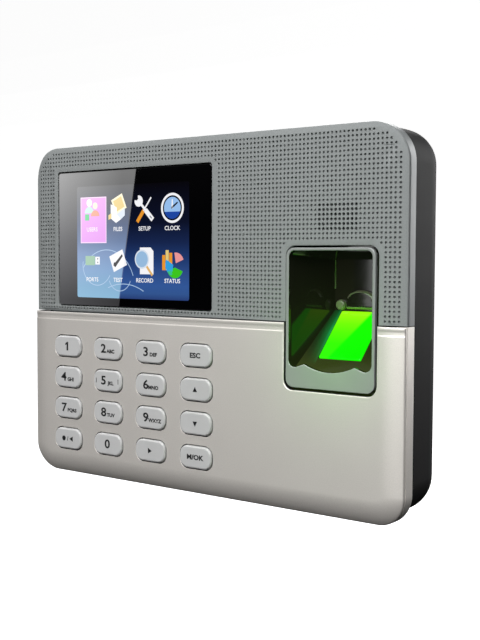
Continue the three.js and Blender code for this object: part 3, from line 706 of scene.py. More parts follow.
def make_world():
    """White behind the terminal, and a dim soft light from above all round it."""
    world = bpy.data.worlds.new("studio")
    world.use_nodes = True
    nodes, links = world.node_tree.nodes, world.node_tree.links
    split = nodes.new("ShaderNodeSeparateXYZ")
    place = nodes.new("ShaderNodeTexCoord")
    scale = nodes.new("ShaderNodeMapRange")
    scale.inputs["From Min"].default_value = -1
    ramp = nodes.new("ShaderNodeValToRGB")
    ramp.color_ramp.elements[0].position = 0.52
    ramp.color_ramp.elements[0].color = (0.006, 0.006, 0.006, 1)
    ramp.color_ramp.elements[1].color = (0.3, 0.3, 0.3, 1)
    path = nodes.new("ShaderNodeLightPath")
    mix = nodes.new("ShaderNodeMixShader")
    white = nodes.new("ShaderNodeBackground")
    links.new(place.outputs["Generated"], split.inputs["Vector"])
    links.new(split.outputs["Z"], scale.inputs["Value"])
    links.new(scale.outputs["Result"], ramp.inputs["Fac"])
    links.new(ramp.outputs["Color"], nodes["Background"].inputs["Color"])
    links.new(path.outputs["Is Camera Ray"], mix.inputs["Fac"])
    links.new(nodes["Background"].outputs["Background"], mix.inputs[1])
    links.new(white.outputs["Background"], mix.inputs[2])
    links.new(mix.outputs["Shader"], nodes["World Output"].inputs["Surface"])
    white.inputs["Color"].default_value = (1, 1, 1, 1)
    bpy.context.scene.world = world


def point_light(name, place, power, radius, color):
    data = bpy.data.lights.new(name, "POINT")
    data.energy = power
    data.shadow_soft_size = radius
    data.color = color
    light = bpy.data.objects.new(name, data)
    bpy.context.scene.collection.objects.link(light)
    light.location = place
    light.visible_glossy = False
    return light


def reach_only(light, name, receivers):
    """Lets a light or a card reach only some of the pieces."""
    lit = bpy.data.collections.new(name + "_receivers")
    for piece in receivers:
        lit.objects.link(piece)
    light.light_linking.receiver_collection = lit


def make_card(name, corners, y, surface, receivers):
    """A glowing card across Y that only its receivers mirror."""
    mesh = bpy.data.meshes.new(name)
    mesh.from_pydata([(x * MM, y * MM, z * MM) for x, z in corners], [], [(0, 1, 2, 3)])
    card = as_object(name, mesh, [surface.material])
    card.visible_camera = False
    card.visible_diffuse = False
    card.visible_shadow = False
    reach_only(card, name, receivers)


def make_window_card(receivers):
    """The softbox on the left that the display's window mirrors, brightest at its far top corner."""
    corners = [(-229, 110), (-520, 110), (-520, -80), (-262, -80)]
    surface = Surface("window_card_light", paint(0, 0, 0), 1.0)
    height = surface.share_along("Z", -8 * MM, 77 * MM)
    stops = [(0.0, (0.19, 0.19, 0.2, 1)), (0.48, (0.48, 0.48, 0.5, 1)), (1.0, (1, 1, 1, 1))]
    surface.light_up(surface.ramp(height, stops), 7.5)
    fade = surface.nodes.new("ShaderNodeMapRange")
    fade.inputs["To Min"].default_value = 7.5
    fade.inputs["To Max"].default_value = 3.8
    surface.links.new(surface.share_along("X", -304 * MM, -247 * MM), fade.inputs["Value"])
    surface.links.new(fade.outputs["Result"], surface.shader.inputs["Emission Strength"])
    make_card("window_card", corners, -250, surface, receivers)


def make_well_card(receivers):
    """A softbox that only the well's glossy walls mirror: a strip on the right, and a dimmer share."""
    corners = [(300, 110), (-347, 110), (-347, -110), (300, -110)]
    surface = Surface("well_card_light", paint(0, 0, 0), 1.0)
    across = surface.share_along("X", -347 * MM, 300 * MM)
    stops = [
        (0.0, (1, 1, 1, 1)),
        (0.3, (1, 1, 0.9, 1)),
        (0.36, (0.16, 0.16, 0.1, 1)),
        (1.0, (0.2, 0.2, 0.1, 1)),
    ]
    surface.light_up(surface.ramp(across, stops), 3.0)
    make_card("well_card", corners, -700, surface, receivers)


def make_sheen(receivers):
    """The low softbox whose sheen shows on the metallic paint, brightest towards the right."""
    sheen = area_light("sheen", (0.05, -0.65, 0.06), (0.05, GRILLE_FRONT, -0.03), 0.3, 0.3, 0.5)
    reach_only(sheen, "sheen", receivers)


def make_light():
    make_world()
    area_light("front", (0.1, -0.62, 0.52), (0, GRILLE_FRONT, 0), 0.85, 0.6, 9.4)
    area_light("side", (0.42, 0.9, 0.24), (0.08, -0.02, 0), 0.6, 0.55, 6.4)
    area_light("back", (-0.6, 0.9, 0.7), (0, 0, 0), 0.8, 0.6, 7)
    green = (0.25, 1.0, 0.1)
    out_of_glass = Vector((0, -math.sin(SLOPE), math.cos(SLOPE)))
    point_light("well_glow", GLASS_MIDDLE + out_of_glass * 8 * MM, 0.006, 3 * MM, green)
    point_light("front_glow", (WELL_MIDDLE, -48 * MM, -12 * MM), 0.009, 10 * MM, green)


# ---------------------------------------------------------------- covers and housing


def opening_outline(steps=10):
    """The opening in the covers and the grille plate that the sensor's surround stands in."""
    low, high = OPENING_LOW, OPENING_HIGH
    return rounded_rect(low.x, high.x, low.z, high.z, OPENING_RADIUS, steps)


def flared_rings(outline, front, back, flare, steps=4):
    """A cutter that follows an outline and opens out in a round edge at the front."""
    rings = [ring(outline, front - 1 * MM, -flare)]
    for i in range(steps + 1):
        angle = i / steps * math.pi / 2
        rings.append(ring(outline, front + flare * (1 - math.cos(angle)), -flare * (1 - math.sin(angle))))
    rings.append(ring(outline, back))
    return rings


SIDE_ROLL = {"reach": 8 * MM, "drop": 1.35 * MM, "edge": 0.35 * MM}
BOTTOM_ROLL = {"reach": 8.5 * MM, "drop": 3.4 * MM}
ROLL_STEPS = 12


def bow_back(inset):
    """How far the front bows back at a distance inside its left or right edge."""
    return SIDE_ROLL["drop"] * max(0.0, 1 - inset / SIDE_ROLL["reach"]) ** 2


def side_back(inset):
    """The bow together with the small round of the lower cover's edge."""
    edge = SIDE_ROLL["edge"]
    near = min(1.0, max(0.0, 1 - inset / edge))
    return bow_back(inset) + edge * (1 - math.sqrt(1 - near**2))


def bow(piece, front):
    """Bows what lies in front of a level back towards the left and right edges."""
    for vertex in piece.data.vertices:
        if vertex.co.y < front:
            vertex.co.y += bow_back(HALF_WIDTH - abs(vertex.co.x))


def bottom_share(nz):
    """How much of the bottom's roll there is where the outline faces nz upwards."""
    return max(0.0, -nz) ** 1.6


def edge_back(nz):
    """How far the lower cover's edge lies behind its face."""
    side = SIDE_ROLL["drop"] + SIDE_ROLL["edge"]
    return side + bottom_share(nz) * (BOTTOM_ROLL["drop"] - side)


CREASE = {"behind": 0.55 * MM, "width": 0.4 * MM, "depth": 0.3 * MM}


def crease_rings(outline, front):
    """The fine groove that runs all round, just behind the edge of the face."""
    behind, width, depth = CREASE["behind"], CREASE["width"], CREASE["depth"]
    rings = []
    profile = (
        (behind + width, 0),
        (behind + width * 0.8, depth),
        (behind + width * 0.2, depth),
        (behind, 0),
    )
    for back, inset in profile:
        points = []
        for x, z, nx, nz in outline:
            y = front + edge_back(nz) + back
            points.append(Vector((x - nx * inset, y, z - nz * inset)))
        rings.append(points)
    return rings


def rolled_rings(outline, front, back, inset=0.0):
    """Rings of a body whose face rolls back towards its sides and, further, towards its bottom."""
    rings = [ring(outline, back, inset)]
    if not inset:
        rings += crease_rings(outline, front)
    for i in range(ROLL_STEPS + 1):
        angle = i / ROLL_STEPS * math.pi / 2
        at_side = SIDE_ROLL["reach"] * (i / ROLL_STEPS) ** 1.8
        at_bottom = BOTTOM_ROLL["reach"] * (1 - math.cos(angle))
        curve = 0.4 * (1 - math.sin(angle)) + 0.6 * math.cos(angle) ** 2
        bottom_back = BOTTOM_ROLL["drop"] * curve
        points = []
        for x, z, nx, nz in outline:
            share = bottom_share(nz)
            inward = inset + at_side + share * (at_bottom - at_side)
            y = front + side_back(at_side) + share * (bottom_back - side_back(at_side))
            points.append(Vector((x - nx * inward, y, z - nz * inward)))
        rings.append(points)
    return rings


def lip_cutter_rings(split):
    """The shallow groove under the lower cover's lip, run across the face."""
    top, bottom, depth = split - 0.75 * MM, split - 3.3 * MM, 0.15 * MM
    profile = [(LOWER_FRONT - 3 * MM, top)]
    for i in range(7):
        angle = i / 6 * math.pi
        profile.append((LOWER_FRONT + depth * (1 - math.cos(angle)) / 2, top - 1.1 * MM * i / 6))
    for i in range(5):
        angle = i / 4 * math.pi
        profile.append((LOWER_FRONT + depth * (1 + math.cos(angle)) / 2, bottom + 0.7 * MM * (1 - i / 4)))
    profile.append((LOWER_FRONT - 3 * MM, bottom))
    profile[1] = (LOWER_FRONT - 0.004 * MM, top - 0.01 * MM)
    profile[-2] = (LOWER_FRONT - 0.004 * MM, bottom + 0.01 * MM)
    return across_face(profile)


def lip_round_rings(split, radius):
    profile = [(LOWER_FRONT - 3 * MM, split - radius), (LOWER_FRONT - 0.001 * MM, split - radius)]
    for i in range(1, 7):
        angle = i / 6 * math.pi / 2
        y = LOWER_FRONT + radius * (1 - math.cos(angle))
        profile.append((y, split - radius * (1 - math.sin(angle))))
    profile += [(LOWER_FRONT + radius, split + 3 * MM), (LOWER_FRONT - 3 * MM, split + 3 * MM)]
    return across_face(profile)


def across_face(profile):
    """A (y, z) profile swept from side to side, set back where the face bows back at its sides."""
    places = [HALF_WIDTH + 1 * MM]
    places += [HALF_WIDTH - SIDE_ROLL["reach"] * (i / ROLL_STEPS) ** 1.8 for i in range(ROLL_STEPS + 1)]
    places += [-x for x in reversed(places)]
    rings = []
    for x in places:
        back = side_back(max(0.0, HALF_WIDTH - abs(x)))
        rings.append([Vector((x, y + back, z)) for y, z in profile])
    return rings


def key_outline(node, grow=0.0, steps=8):
    centre = middle(node)
    x, z = KEY_SIZE[0] / 2 + grow, KEY_SIZE[1] / 2 + grow
    return rounded_rect(centre.x - x, centre.x + x, centre.z - z, centre.z + z, KEY_CORNER + grow, steps)


def paint_shade_on_walls(piece, front, depth, dark):
    """Gives the walls of a shell's openings, from behind their front edge inwards, a dark material: painted
    shade in the gaps round the keys and in the openings.
    """
    piece.data.materials.append(dark)
    for polygon in piece.data.polygons:
        x, y, z = polygon.center
        if y > front and abs(polygon.normal.y) < 0.5 and outline_depth(x, z) > depth:
            polygon.material_index = 1


def make_lower_cover():
    split = LOWER_HIGH.z
    outline = lower_outline()
    cover = loft("lower_cover_shell", rolled_rings(outline, LOWER_FRONT, COVER_BACK))
    below = lofts("below", [box_rings(-1, 1, -1, 1, -1, split)])
    hollow = loft("hollow", rolled_rings(outline, LOWER_FRONT + 2 * MM, 0, WALL))
    combine(cover, below, how="INTERSECT")
    combine(cover, hollow)
    groove = loft("groove", lip_cutter_rings(split))
    lip_round = loft("lip_round", lip_round_rings(split, 0.55 * MM))
    combine(cover, groove, lip_round)
    notch = loft("notch", flared_rings(opening_outline(), LOWER_FRONT, 0, 0.4 * MM))
    keys = []
    for names in KEY_NAMES:
        for name in names:
            keys.append(flared_rings(key_outline(name, 0.38 * MM), LOWER_FRONT, -20 * MM, 0.15 * MM, 3))
    combine(cover, notch, lofts("key_openings", keys))
    dress(cover, SILVER)
    # Painted shade: the walls of the key openings and the notch go dark.
    paint_shade_on_walls(cover, LOWER_FRONT + 0.3 * MM, WALL + 0.5 * MM, INNER_BLACK_AND_SHADE)
    shade(cover)
    return finished(cover, "terminal", "silver_paint", "lower_cover")


def make_upper_cover():
    split = GRILLE_LOW.z
    outline = case_outline()
    rim = 0.4 * MM
    rings = [
        ring(outline, COVER_BACK),
        ring(outline, -28.65 * MM),
        ring(outline, -28.85 * MM, 0.08 * MM),
        ring(outline, -28.9 * MM, 0.2 * MM),
        ring(outline, -28.9 * MM, rim),
        ring(outline, -28.4 * MM, rim + 0.05 * MM),
    ]
    cover = loft("upper_cover_shell", rings)
    hollow = loft("hollow", [ring(outline, -26.5 * MM, WALL), ring(outline, -20 * MM, WALL)])
    above = lofts("above", [box_rings(-1, 1, -1, 1, split, 1)])
    combine(cover, above, how="INTERSECT")
    tongue = lofts("tongue", [box_rings(-76 * MM, 76 * MM, -28.5 * MM, -26.5 * MM, -5 * MM, split + 1 * MM)])
    combine(cover, tongue, how="UNION")
    low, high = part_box("display_panel")
    grow = 0.4 * MM
    window = box_rings(low.x - grow, high.x + grow, -1, 0, low.z - grow, high.z + grow)
    centre = (SPEAKER_LOW + SPEAKER_HIGH) / 2
    speaker = rect_ring(
        centre.x - 9 * MM, centre.x + 9 * MM, centre.z - 5.5 * MM, centre.z + 5.5 * MM, 2 * MM, -40 * MM
    )
    speaker_rings = [speaker, [Vector((p.x, -20 * MM, p.z)) for p in speaker]]
    opening = ring(opening_outline(), -40 * MM)
    opening_rings = [opening, [Vector((p.x, -20 * MM, p.z)) for p in opening]]
    cutters = [loft("cut", rings) for rings in (window, speaker_rings, opening_rings)]
    combine(cover, hollow, *cutters)
    dress(cover, BAND_GREY)
    # Painted shade: the walls of the window, speaker and sensor openings go dark.
    paint_shade_on_walls(cover, -28.8 * MM, WALL + 0.5 * MM, INNER_BLACK_AND_SHADE)
    bow(cover, -28.2 * MM)
    shade(cover)
    finished(cover, "terminal", "grey_plastic", "upper_cover")


DOTS = {
    "pitch_x": 1.565 * MM,
    "pitch_z": 1.56 * MM,
    "last_x": 82.4 * MM,
    "first_z": 0.9 * MM,
    "radius": 0.48 * MM,
}
SPEAKER_HOLES = {"columns": 10, "rows": 6}


def outline_depth(x, z):
    """How far a point lies inside the case's outline."""
    dx, dz = abs(x) - (HALF_WIDTH - CORNER), abs(z) - (HALF_HEIGHT - CORNER)
    if dx > 0 and dz > 0:
        return CORNER - math.hypot(dx, dz)
    return CORNER - max(dx, dz)


def distance_outside(low, high, radius, x, z):
    """How far a point lies outside a rounded rectangle, or less than zero inside it."""
    dx = max(low.x + radius - x, x - high.x + radius)
    dz = max(low.z + radius - z, z - high.z + radius)
    if dx > 0 and dz > 0:
        return math.hypot(dx, dz) - radius
    return max(dx, dz) - radius


DOT_MARGINS = {"edge": 2.2 * MM, "lens": 2.0 * MM, "lens_below": 0.9 * MM, "surround": 1.6 * MM}


def clear_of_lens(x, z):
    margin = DOT_MARGINS["lens"] if z > LENS_LOW.z else DOT_MARGINS["lens_below"]
    return distance_outside(LENS_LOW, LENS_HIGH, 0, x, z) > margin


def clear_of_surround(x, z):
    return distance_outside(OPENING_LOW, OPENING_HIGH, OPENING_RADIUS, x, z) > DOT_MARGINS["surround"]


def dot_places():
    """The grid of dots over the grille plate, with plain borders round its edge and openings."""
    places = []
    for column in range(int(2 * HALF_WIDTH / DOTS["pitch_x"])):
        x = DOTS["last_x"] - column * DOTS["pitch_x"]
        for row in range(41):
            z = DOTS["first_z"] + row * DOTS["pitch_z"]
            if outline_depth(x, z) < DOT_MARGINS["edge"]:
                continue
            if clear_of_lens(x, z) and clear_of_surround(x, z):
                places.append((x, z))
    return places


def make_grille():
    split = GRILLE_LOW.z
    outline = case_outline()
    rings = [
        ring(outline, GRILLE_FRONT, 0.25 * MM),
        ring(outline, GRILLE_FRONT + 0.07 * MM, 0.07 * MM),
        ring(outline, GRILLE_FRONT + 0.25 * MM),
        ring(outline, GRILLE_FRONT + 0.4 * MM),
        ring(outline, GRILLE_FRONT + 0.45 * MM, 0.8 * MM),
        ring(outline, GRILLE_BACK, 1.2 * MM),
    ]
    plate = loft("grille_dotted_plate", rings)
    above = lofts("above", [box_rings(-1, 1, -1, 1, split, 1)])
    combine(plate, above, how="INTERSECT")
    low, high = LENS_LOW, LENS_HIGH
    gap = 0.3 * MM
    lens = rounded_rect(low.x - gap, high.x + gap, low.z - gap, high.z + gap, 1.2 * MM, 6)
    openings = [
        flared_rings(lens, GRILLE_FRONT, 0, 0.15 * MM, 3),
        flared_rings(opening_outline(), GRILLE_FRONT, 0, 0.15 * MM, 3),
    ]
    combine(plate, *[loft("opening", rings) for rings in openings])
    pits, holes = [], []
    speaker = (SPEAKER_LOW + SPEAKER_HIGH) / 2
    half_x = (SPEAKER_HOLES["columns"] / 2) * DOTS["pitch_x"]
    half_z = (SPEAKER_HOLES["rows"] / 2) * DOTS["pitch_z"]
    for x, z in dot_places():
        if abs(x - speaker.x) < half_x and abs(z - speaker.z) < half_z:
            holes.append(rod_rings(x, z, DOTS["radius"] * 1.15, GRILLE_FRONT - 1 * MM, 0, 10))
        else:
            pits.append(pit_rings(x, z))
    combine(plate, lofts("pits", pits + holes))
    # Painted shade: the pits, the speaker holes, the surround's opening and the plate's set-back edge take
    # the dark grey.
    front = GRILLE_FRONT + 0.02 * MM
    for polygon in plate.data.polygons:
        x, y, z = polygon.center
        behind = y > GRILLE_FRONT + 0.41 * MM
        inside = front < y < GRILLE_BACK - 0.05 * MM and (behind or outline_depth(x, z) > 1.2 * MM)
        away = distance_outside(LENS_LOW, LENS_HIGH, 0, x, z) > 0.5 * MM
        polygon.material_index = 1 if inside and away else 0
    dress(plate, GRILLE_GREY, PIT_SHADE)
    bow(plate, 0)
    shade(plate, weighted=False)
    finished(plate, "terminal", "grey_plastic", "grille_plate")


def pit_rings(x, z):
    radius = DOTS["radius"]
    levels = [(-1.0, radius), (0.55, radius * 0.94), (0.8, radius * 0.55)]
    return [
        [Vector((px, GRILLE_FRONT + depth * MM, pz)) for px, pz in circle_points(x, z, size, 8)]
        for depth, size in levels
    ]


CASE_FIXINGS = [f"case_screw_{i}" for i in range(1, 7)]
BOARD_FIXINGS = [f"board_screw_{i}" for i in range(1, 5)]
SOCKETS = ["network_socket", "usb_socket", "power_socket"]
HOOKS = [(x * MM, z * MM) for x in (-42, 42) for z in (30, -18)]
BAY = {"x0": -40 * MM, "x1": 34 * MM, "front": -21 * MM, "top": -40 * MM, "wall": 2 * MM}
HOUSING = {"front": -23.7 * MM, "straight": -12 * MM, "back": -2 * MM, "inset": 0.5 * MM, "round": 8 * MM}


def housing_rings(outline, inset, thickness):
    """Rings of the rear housing's outer face, or of its inner face when it has a thickness."""
    back, straight = HOUSING["back"] - thickness, HOUSING["straight"]
    front = HOUSING["front"] - (5 * MM if thickness else 0)
    rings = []
    if not thickness:
        rings += [ring(outline, front, inset + 0.7 * MM), ring(outline, front + 0.55 * MM, inset + 0.7 * MM)]
        front += 0.6 * MM
    rings += [ring(outline, front, inset + thickness), ring(outline, straight, inset + 0.2 * MM + thickness)]
    reach = HOUSING["round"] - thickness / 2
    for i in range(1, 11):
        angle = i / 10 * math.pi / 2
        y = straight + (back - straight) * math.sin(angle)
        rings.append(ring(outline, y, inset + 0.2 * MM + thickness + reach * (1 - math.cos(angle))))
    return rings


def make_housing():
    outline = case_outline()
    inset = HOUSING["inset"]
    housing = loft("rear_housing_shell", housing_rings(outline, inset, 0))
    solid = loft("solid", housing_rings(outline, inset, 0))
    combine(housing, loft("hollow", housing_rings(outline, inset, WALL)))
    wall = BAY["wall"]
    left, right = BAY["x0"] - wall, BAY["x1"] + wall
    bay = box_rings(left, right, BAY["front"] - wall, 0, -HALF_HEIGHT, BAY["top"] + wall)
    walls = loft("bay_walls", bay)
    lock = middle("lock_screw")
    block = loft(
        "lock_block",
        box_rings(lock.x - 5 * MM, lock.x + 5 * MM, lock.y - 4 * MM, 0, -HALF_HEIGHT, -57.5 * MM),
    )
    posts = []
    for name in CASE_FIXINGS:
        at = middle(name)
        posts.append(rod_rings(at.x, at.z, 3.6 * MM, -14 * MM, 0, 24))
    inner = lofts("posts", posts)
    combine(inner, walls, block, how="UNION")
    combine(inner, solid, how="INTERSECT")
    combine(housing, inner, how="UNION")
    cutters = [box_rings(BAY["x0"], BAY["x1"], BAY["front"], 10 * MM, -1, BAY["top"])]
    gap = 0.3 * MM
    for name in SOCKETS:
        low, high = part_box(name)
        bottom, top = BAY["top"] - 1 * MM, BAY["top"] + 3 * MM
        cutters.append(
            box_rings(low.x - gap, high.x + gap, low.y - gap, high.y + gap, bottom + 0.5 * MM, top)
        )
    combine(housing, *[loft("cut", rings) for rings in cutters])
    recesses, pilots = [], []
    for name in CASE_FIXINGS:
        at = middle(name)
        recesses.append(rod_rings(at.x, at.z, 3 * MM, -10 * MM, 10 * MM, 32))
        pilots.append(rod_rings(at.x, at.z, 1.6 * MM, -15 * MM, -9 * MM, 16))
    recesses.append(along_z(rod_rings(0, 0, 2.9 * MM, 60.9 * MM, 70 * MM, 32), lock.x, lock.y, 0))
    pilots.append(along_z(rod_rings(0, 0, 1.6 * MM, 56.5 * MM, 62 * MM, 16), lock.x, lock.y, 0))
    plunger = middle("tamper_plunger")
    recesses.append(rod_rings(plunger.x, plunger.z, 2.3 * MM, -6 * MM, 10 * MM, 24))
    for x, z in HOOKS:
        recesses.append(box_rings(x - 4.6 * MM, x + 4.6 * MM, -7 * MM, 10 * MM, z - 6 * MM, z + 0.3 * MM))
    tab_top, reach = -50.5 * MM, 6.6 * MM
    bottom, top = tab_top - 2.1 * MM, tab_top + 0.6 * MM
    recesses.append(box_rings(lock.x - reach, lock.x + reach, -5 * MM, 10 * MM, bottom, top))
    combine(housing, lofts("recesses", recesses))
    combine(housing, lofts("pilots", pilots))
    dress(housing, HOUSING_BLACK)
    shade(housing)
    finished(housing, "terminal", "black_housing", "rear_housing")


# ---------------------------------------------------------------- display


def make_lens():
    low, high = LENS_LOW, LENS_HIGH
    outline = rounded_rect(low.x, high.x, low.z, high.z, 1.2 * MM, 8)
    edge = 0.3 * MM
    rings = [ring(outline, high.y)]
    for i in range(6):
        angle = i / 5 * math.pi / 2
        rings.append(ring(outline, low.y + edge * (1 - math.sin(angle)), edge * (1 - math.cos(angle))))
    lens = loft("display_window", rings, [LENS_BLACK])
    shade(lens)
    return finished(lens, "terminal", "lens_black", "display_lens")


class Picture:
    """Flat shapes of the lit picture, laid in thin layers just in front of the window."""

    LAYER = 0.012 * MM

    def __init__(self):
        self.vertices, self.faces, self.indices = [], [], []
        self.materials = []

    def material(self, material):
        if material not in self.materials:
            self.materials.append(material)
        return self.materials.index(material)

    def add(self, points, layer, material):
        """A thin prism with an outline of (x, z) points, whose front is in that layer."""
        front = LENS_LOW.y - self.LAYER * (layer + 1)
        back = front + self.LAYER * 0.6
        start, count = len(self.vertices), len(points)
        for y in (front, back):
            self.vertices += [Vector((x, y, z)) for x, z in points]
        faces = skin_faces(start, count, 2)
        self.faces += faces
        self.indices += [self.material(material)] * len(faces)

    def finish(self, name):
        mesh = bpy.data.meshes.new(name)
        mesh.from_pydata(self.vertices, [], self.faces)
        for polygon, index in zip(mesh.polygons, self.indices):
            polygon.material_index = index
        work = bmesh.new()
        work.from_mesh(mesh)
        bmesh.ops.recalc_face_normals(work, faces=work.faces)
        work.to_mesh(mesh)
        work.free()
        return as_object(name, mesh, self.materials)


def rotated(points, x, z, degrees):
    """Points drawn in millimetres round (0, 0), turned and set down at (x, z)."""
    c, s = math.cos(math.radians(degrees)), math.sin(math.radians(degrees))
    return [(x + (px * c - pz * s) * MM, z + (px * s + pz * c) * MM) for px, pz in points]


def rect_points(width, height, dx=0.0, dz=0.0):
    w, h = width / 2, height / 2
    return [(dx + w, dz + h), (dx - w, dz + h), (dx - w, dz - h), (dx + w, dz - h)]


def arc_points(radius, start, end, count=24, dx=0.0, dz=0.0):
    return [
        (
            dx + radius * math.cos(math.radians(start + (end - start) * i / count)),
            dz + radius * math.sin(math.radians(start + (end - start) * i / count)),
        )
        for i in range(count + 1)
    ]


def disc_points(radius, dx=0.0, dz=0.0, count=40):
    return arc_points(radius, 0, 360, count, dx, dz)[:-1]


def ring_band(radius, width, start, end, count=32):
    outer = arc_points(radius, start, end, count)
    return outer + arc_points(radius - width, end, start, count)


ICON_COLUMNS = [-52.6 * MM, -38.8 * MM, -25.1 * MM, -11.4 * MM]
ICON_ROWS = [39.1 * MM, 19.7 * MM]
LABELS = [["USERS", "FILES", "SETUP", "CLOCK"], ["PORTS", "TEST", "RECORD", "STATUS"]]


def putter(picture, x, z, ink):
    """Puts shapes into an icon's place, turned by some degrees."""

    def put(points, layer, color, turn=0):
        picture.add(rotated(points, x, z, turn), layer, ink[color])

    return put


def icon_people(picture, x, z, ink):
    put = putter(picture, x, z, ink)
    put(disc_points(1.5, -1.6, 3.0), 4, "white")
    put(arc_points(2.5, 0, 180, 16, -1.6, -1.0), 4, "mint")
    put(disc_points(1.3, 1.6, 1.8), 5, "cream")
    put(arc_points(2.3, 0, 180, 16, 1.6, -2.2), 5, "coral")
    put(rect_points(2.2, 2.4, -2.8, -2.6), 6, "green")


def icon_files(picture, x, z, ink):
    put = putter(picture, x, z, ink)
    put(rect_points(6.2, 6.0, 1.3, 1.8), 4, "cream", 24)
    put(rect_points(4.6, 4.4, 1.3, 1.8), 5, "yellow", 24)
    side = [(-3.8, 2.2), (-3.8, -3.2), (-1.0, -5.0), (1.6, -3.6), (-0.6, -1.6), (-0.6, 0.9)]
    put(side, 6, "white")
    put([(-0.6, -1.6), (1.6, -3.6), (3.6, -2.2), (3.6, 0.6)], 6, "pale")
    put([(-5.0, -2.0), (-3.4, -1.2), (-3.4, -3.2), (-5.0, -3.8)], 7, "yellow")


def icon_tools(picture, x, z, ink):
    put = putter(picture, x, z, ink)
    put(rect_points(1.0, 6.0, 0, 2.0), 4, "white", 45)
    put(rect_points(1.5, 5.4, 0, -3.4), 4, "orange", -38)
    put(rect_points(0.6, 6.2, 0, 2.2), 5, "white", -38)
    put(rect_points(1.9, 5.2, 0, -3.2), 5, "white", 45)
    jaw = arc_points(2.1, 125, 415, 18) + [(0.7, 1.2), (0.4, 0.3), (-0.4, 0.3), (-0.7, 1.2)]
    angle = math.radians(45)
    jaw_x, jaw_z = x - 4.2 * MM * math.sin(angle), z + 4.2 * MM * math.cos(angle)
    picture.add(rotated(jaw, jaw_x, jaw_z, 45), 6, ink["white"])
    put(rect_points(0.5, 1.4, 0, -4.4), 6, "grey", 45)


def icon_clock(picture, x, z, ink):
    put = putter(picture, x, z, ink)
    put(disc_points(5.5, count=48), 4, "white")
    put(disc_points(4.6, count=48), 5, "navy")
    put(disc_points(4.0, count=48), 6, "sky")
    put(arc_points(4.0, 200, 340, 24), 7, "blue")
    put([(-0.3, -0.4), (2.8, 1.8), (2.4, 2.2), (-0.6, 0.3)], 8, "navy")
    put([(-0.4, -0.2), (0.4, -0.2), (0.2, 3.2), (-0.2, 3.2)], 8, "white")


def icon_ports(picture, x, z, ink):
    put = putter(picture, x, z, ink)
    put(rect_points(5.2, 3.6, -1.2, 0), 4, "leaf")
    put(rect_points(2.4, 3.0, 2.8, 0), 4, "white")
    put(rect_points(0.6, 0.6, 2.9, 0.7), 5, "grey")
    put(rect_points(0.6, 0.6, 2.9, -0.7), 5, "grey")


def icon_test(picture, x, z, ink):
    put = putter(picture, x, z, ink)
    put(rect_points(7.4, 6.4), 4, "white", 22)
    tick = [(-2.6, -1.6), (-1.6, -2.4), (2.6, 1.6), (2.2, 2.4), (-1.6, -0.6), (-2.2, -0.4)]
    put(tick, 5, "black", 4)


def icon_record(picture, x, z, ink):
    put = putter(picture, x, z, ink)
    sheet = [(-2.4, -5.0), (4.4, -5.0), (4.4, 3.6), (3.0, 5.0), (-2.4, 5.0)]
    put(sheet, 4, "white")
    put(disc_points(3.6, -1.4, 0.6), 5, "pale")
    put(disc_points(3.0, -1.4, 0.6), 6, "ice")
    picture.add(rotated(rect_points(1.0, 4.4, 0, -5.4), x - 1.0 * MM, z + 0.4 * MM, 40), 7, ink["sand"])


def icon_status(picture, x, z, ink):
    put = putter(picture, x, z, ink)
    for i, (height, color) in enumerate(((5.6, "orange"), (7.4, "yellow"), (6.4, "orange"))):
        bar = rect_points(1.5, height, -4.2 + 1.7 * i, -3.4 + height / 2)
        put(bar, 4 + i % 2, color)
    wedges = (
        (150, 260, "aqua", -0.3, 0.2),
        (20, 100, "rose", 0.9, 0.8),
        (200, 340, "lime", 0.5, -0.8),
    )
    for start, end, color, dx, dz in wedges:
        wedge = [(dx, dz)] + arc_points(3.9, start, end, 18, dx, dz)
        put([(px + 0.8, pz - 1.6) for px, pz in wedge], 7, color)


def text_mesh(words, size, thicken=0.0, resolution=3):
    curve = bpy.data.curves.new("words", "FONT")
    curve.body = words
    curve.size = size
    curve.align_x = "CENTER"
    curve.align_y = "CENTER"
    curve.offset = thicken
    curve.extrude = 0.006 * MM
    curve.resolution_u = resolution
    holder = bpy.data.objects.new("words", curve)
    bpy.context.scene.collection.objects.link(holder)
    bpy.context.view_layer.update()
    graph = bpy.context.evaluated_depsgraph_get()
    mesh = bpy.data.meshes.new_from_object(holder.evaluated_get(graph))
    bpy.data.objects.remove(holder)
    return mesh


def words_on_face(words, size, x, y, z, thicken=0.0, widen=1.0):
    """Flat lettering that faces the front, as a mesh in its place."""
    mesh = text_mesh(words, size, thicken)
    wide = Matrix.Diagonal((widen, 1, 1, 1))
    mesh.transform(Matrix.Translation((x, y, z)) @ Matrix.Rotation(math.pi / 2, 4, "X") @ wide)
    work = bmesh.new()
    work.from_mesh(mesh)
    bmesh.ops.remove_doubles(work, verts=work.verts, dist=1e-8)
    bmesh.ops.recalc_face_normals(work, faces=work.faces)
    work.to_mesh(mesh)
    work.free()
    return mesh


def join_meshes(name, parts, materials):
    """One object from meshes, each with the index of its material."""
    work = bmesh.new()
    for mesh, index in parts:
        before = len(work.faces)
        work.from_mesh(mesh)
        work.faces.ensure_lookup_table()
        for face in work.faces[before:]:
            face.material_index = index
    joined = bpy.data.meshes.new(name)
    work.to_mesh(joined)
    work.free()
    return as_object(name, joined, materials)


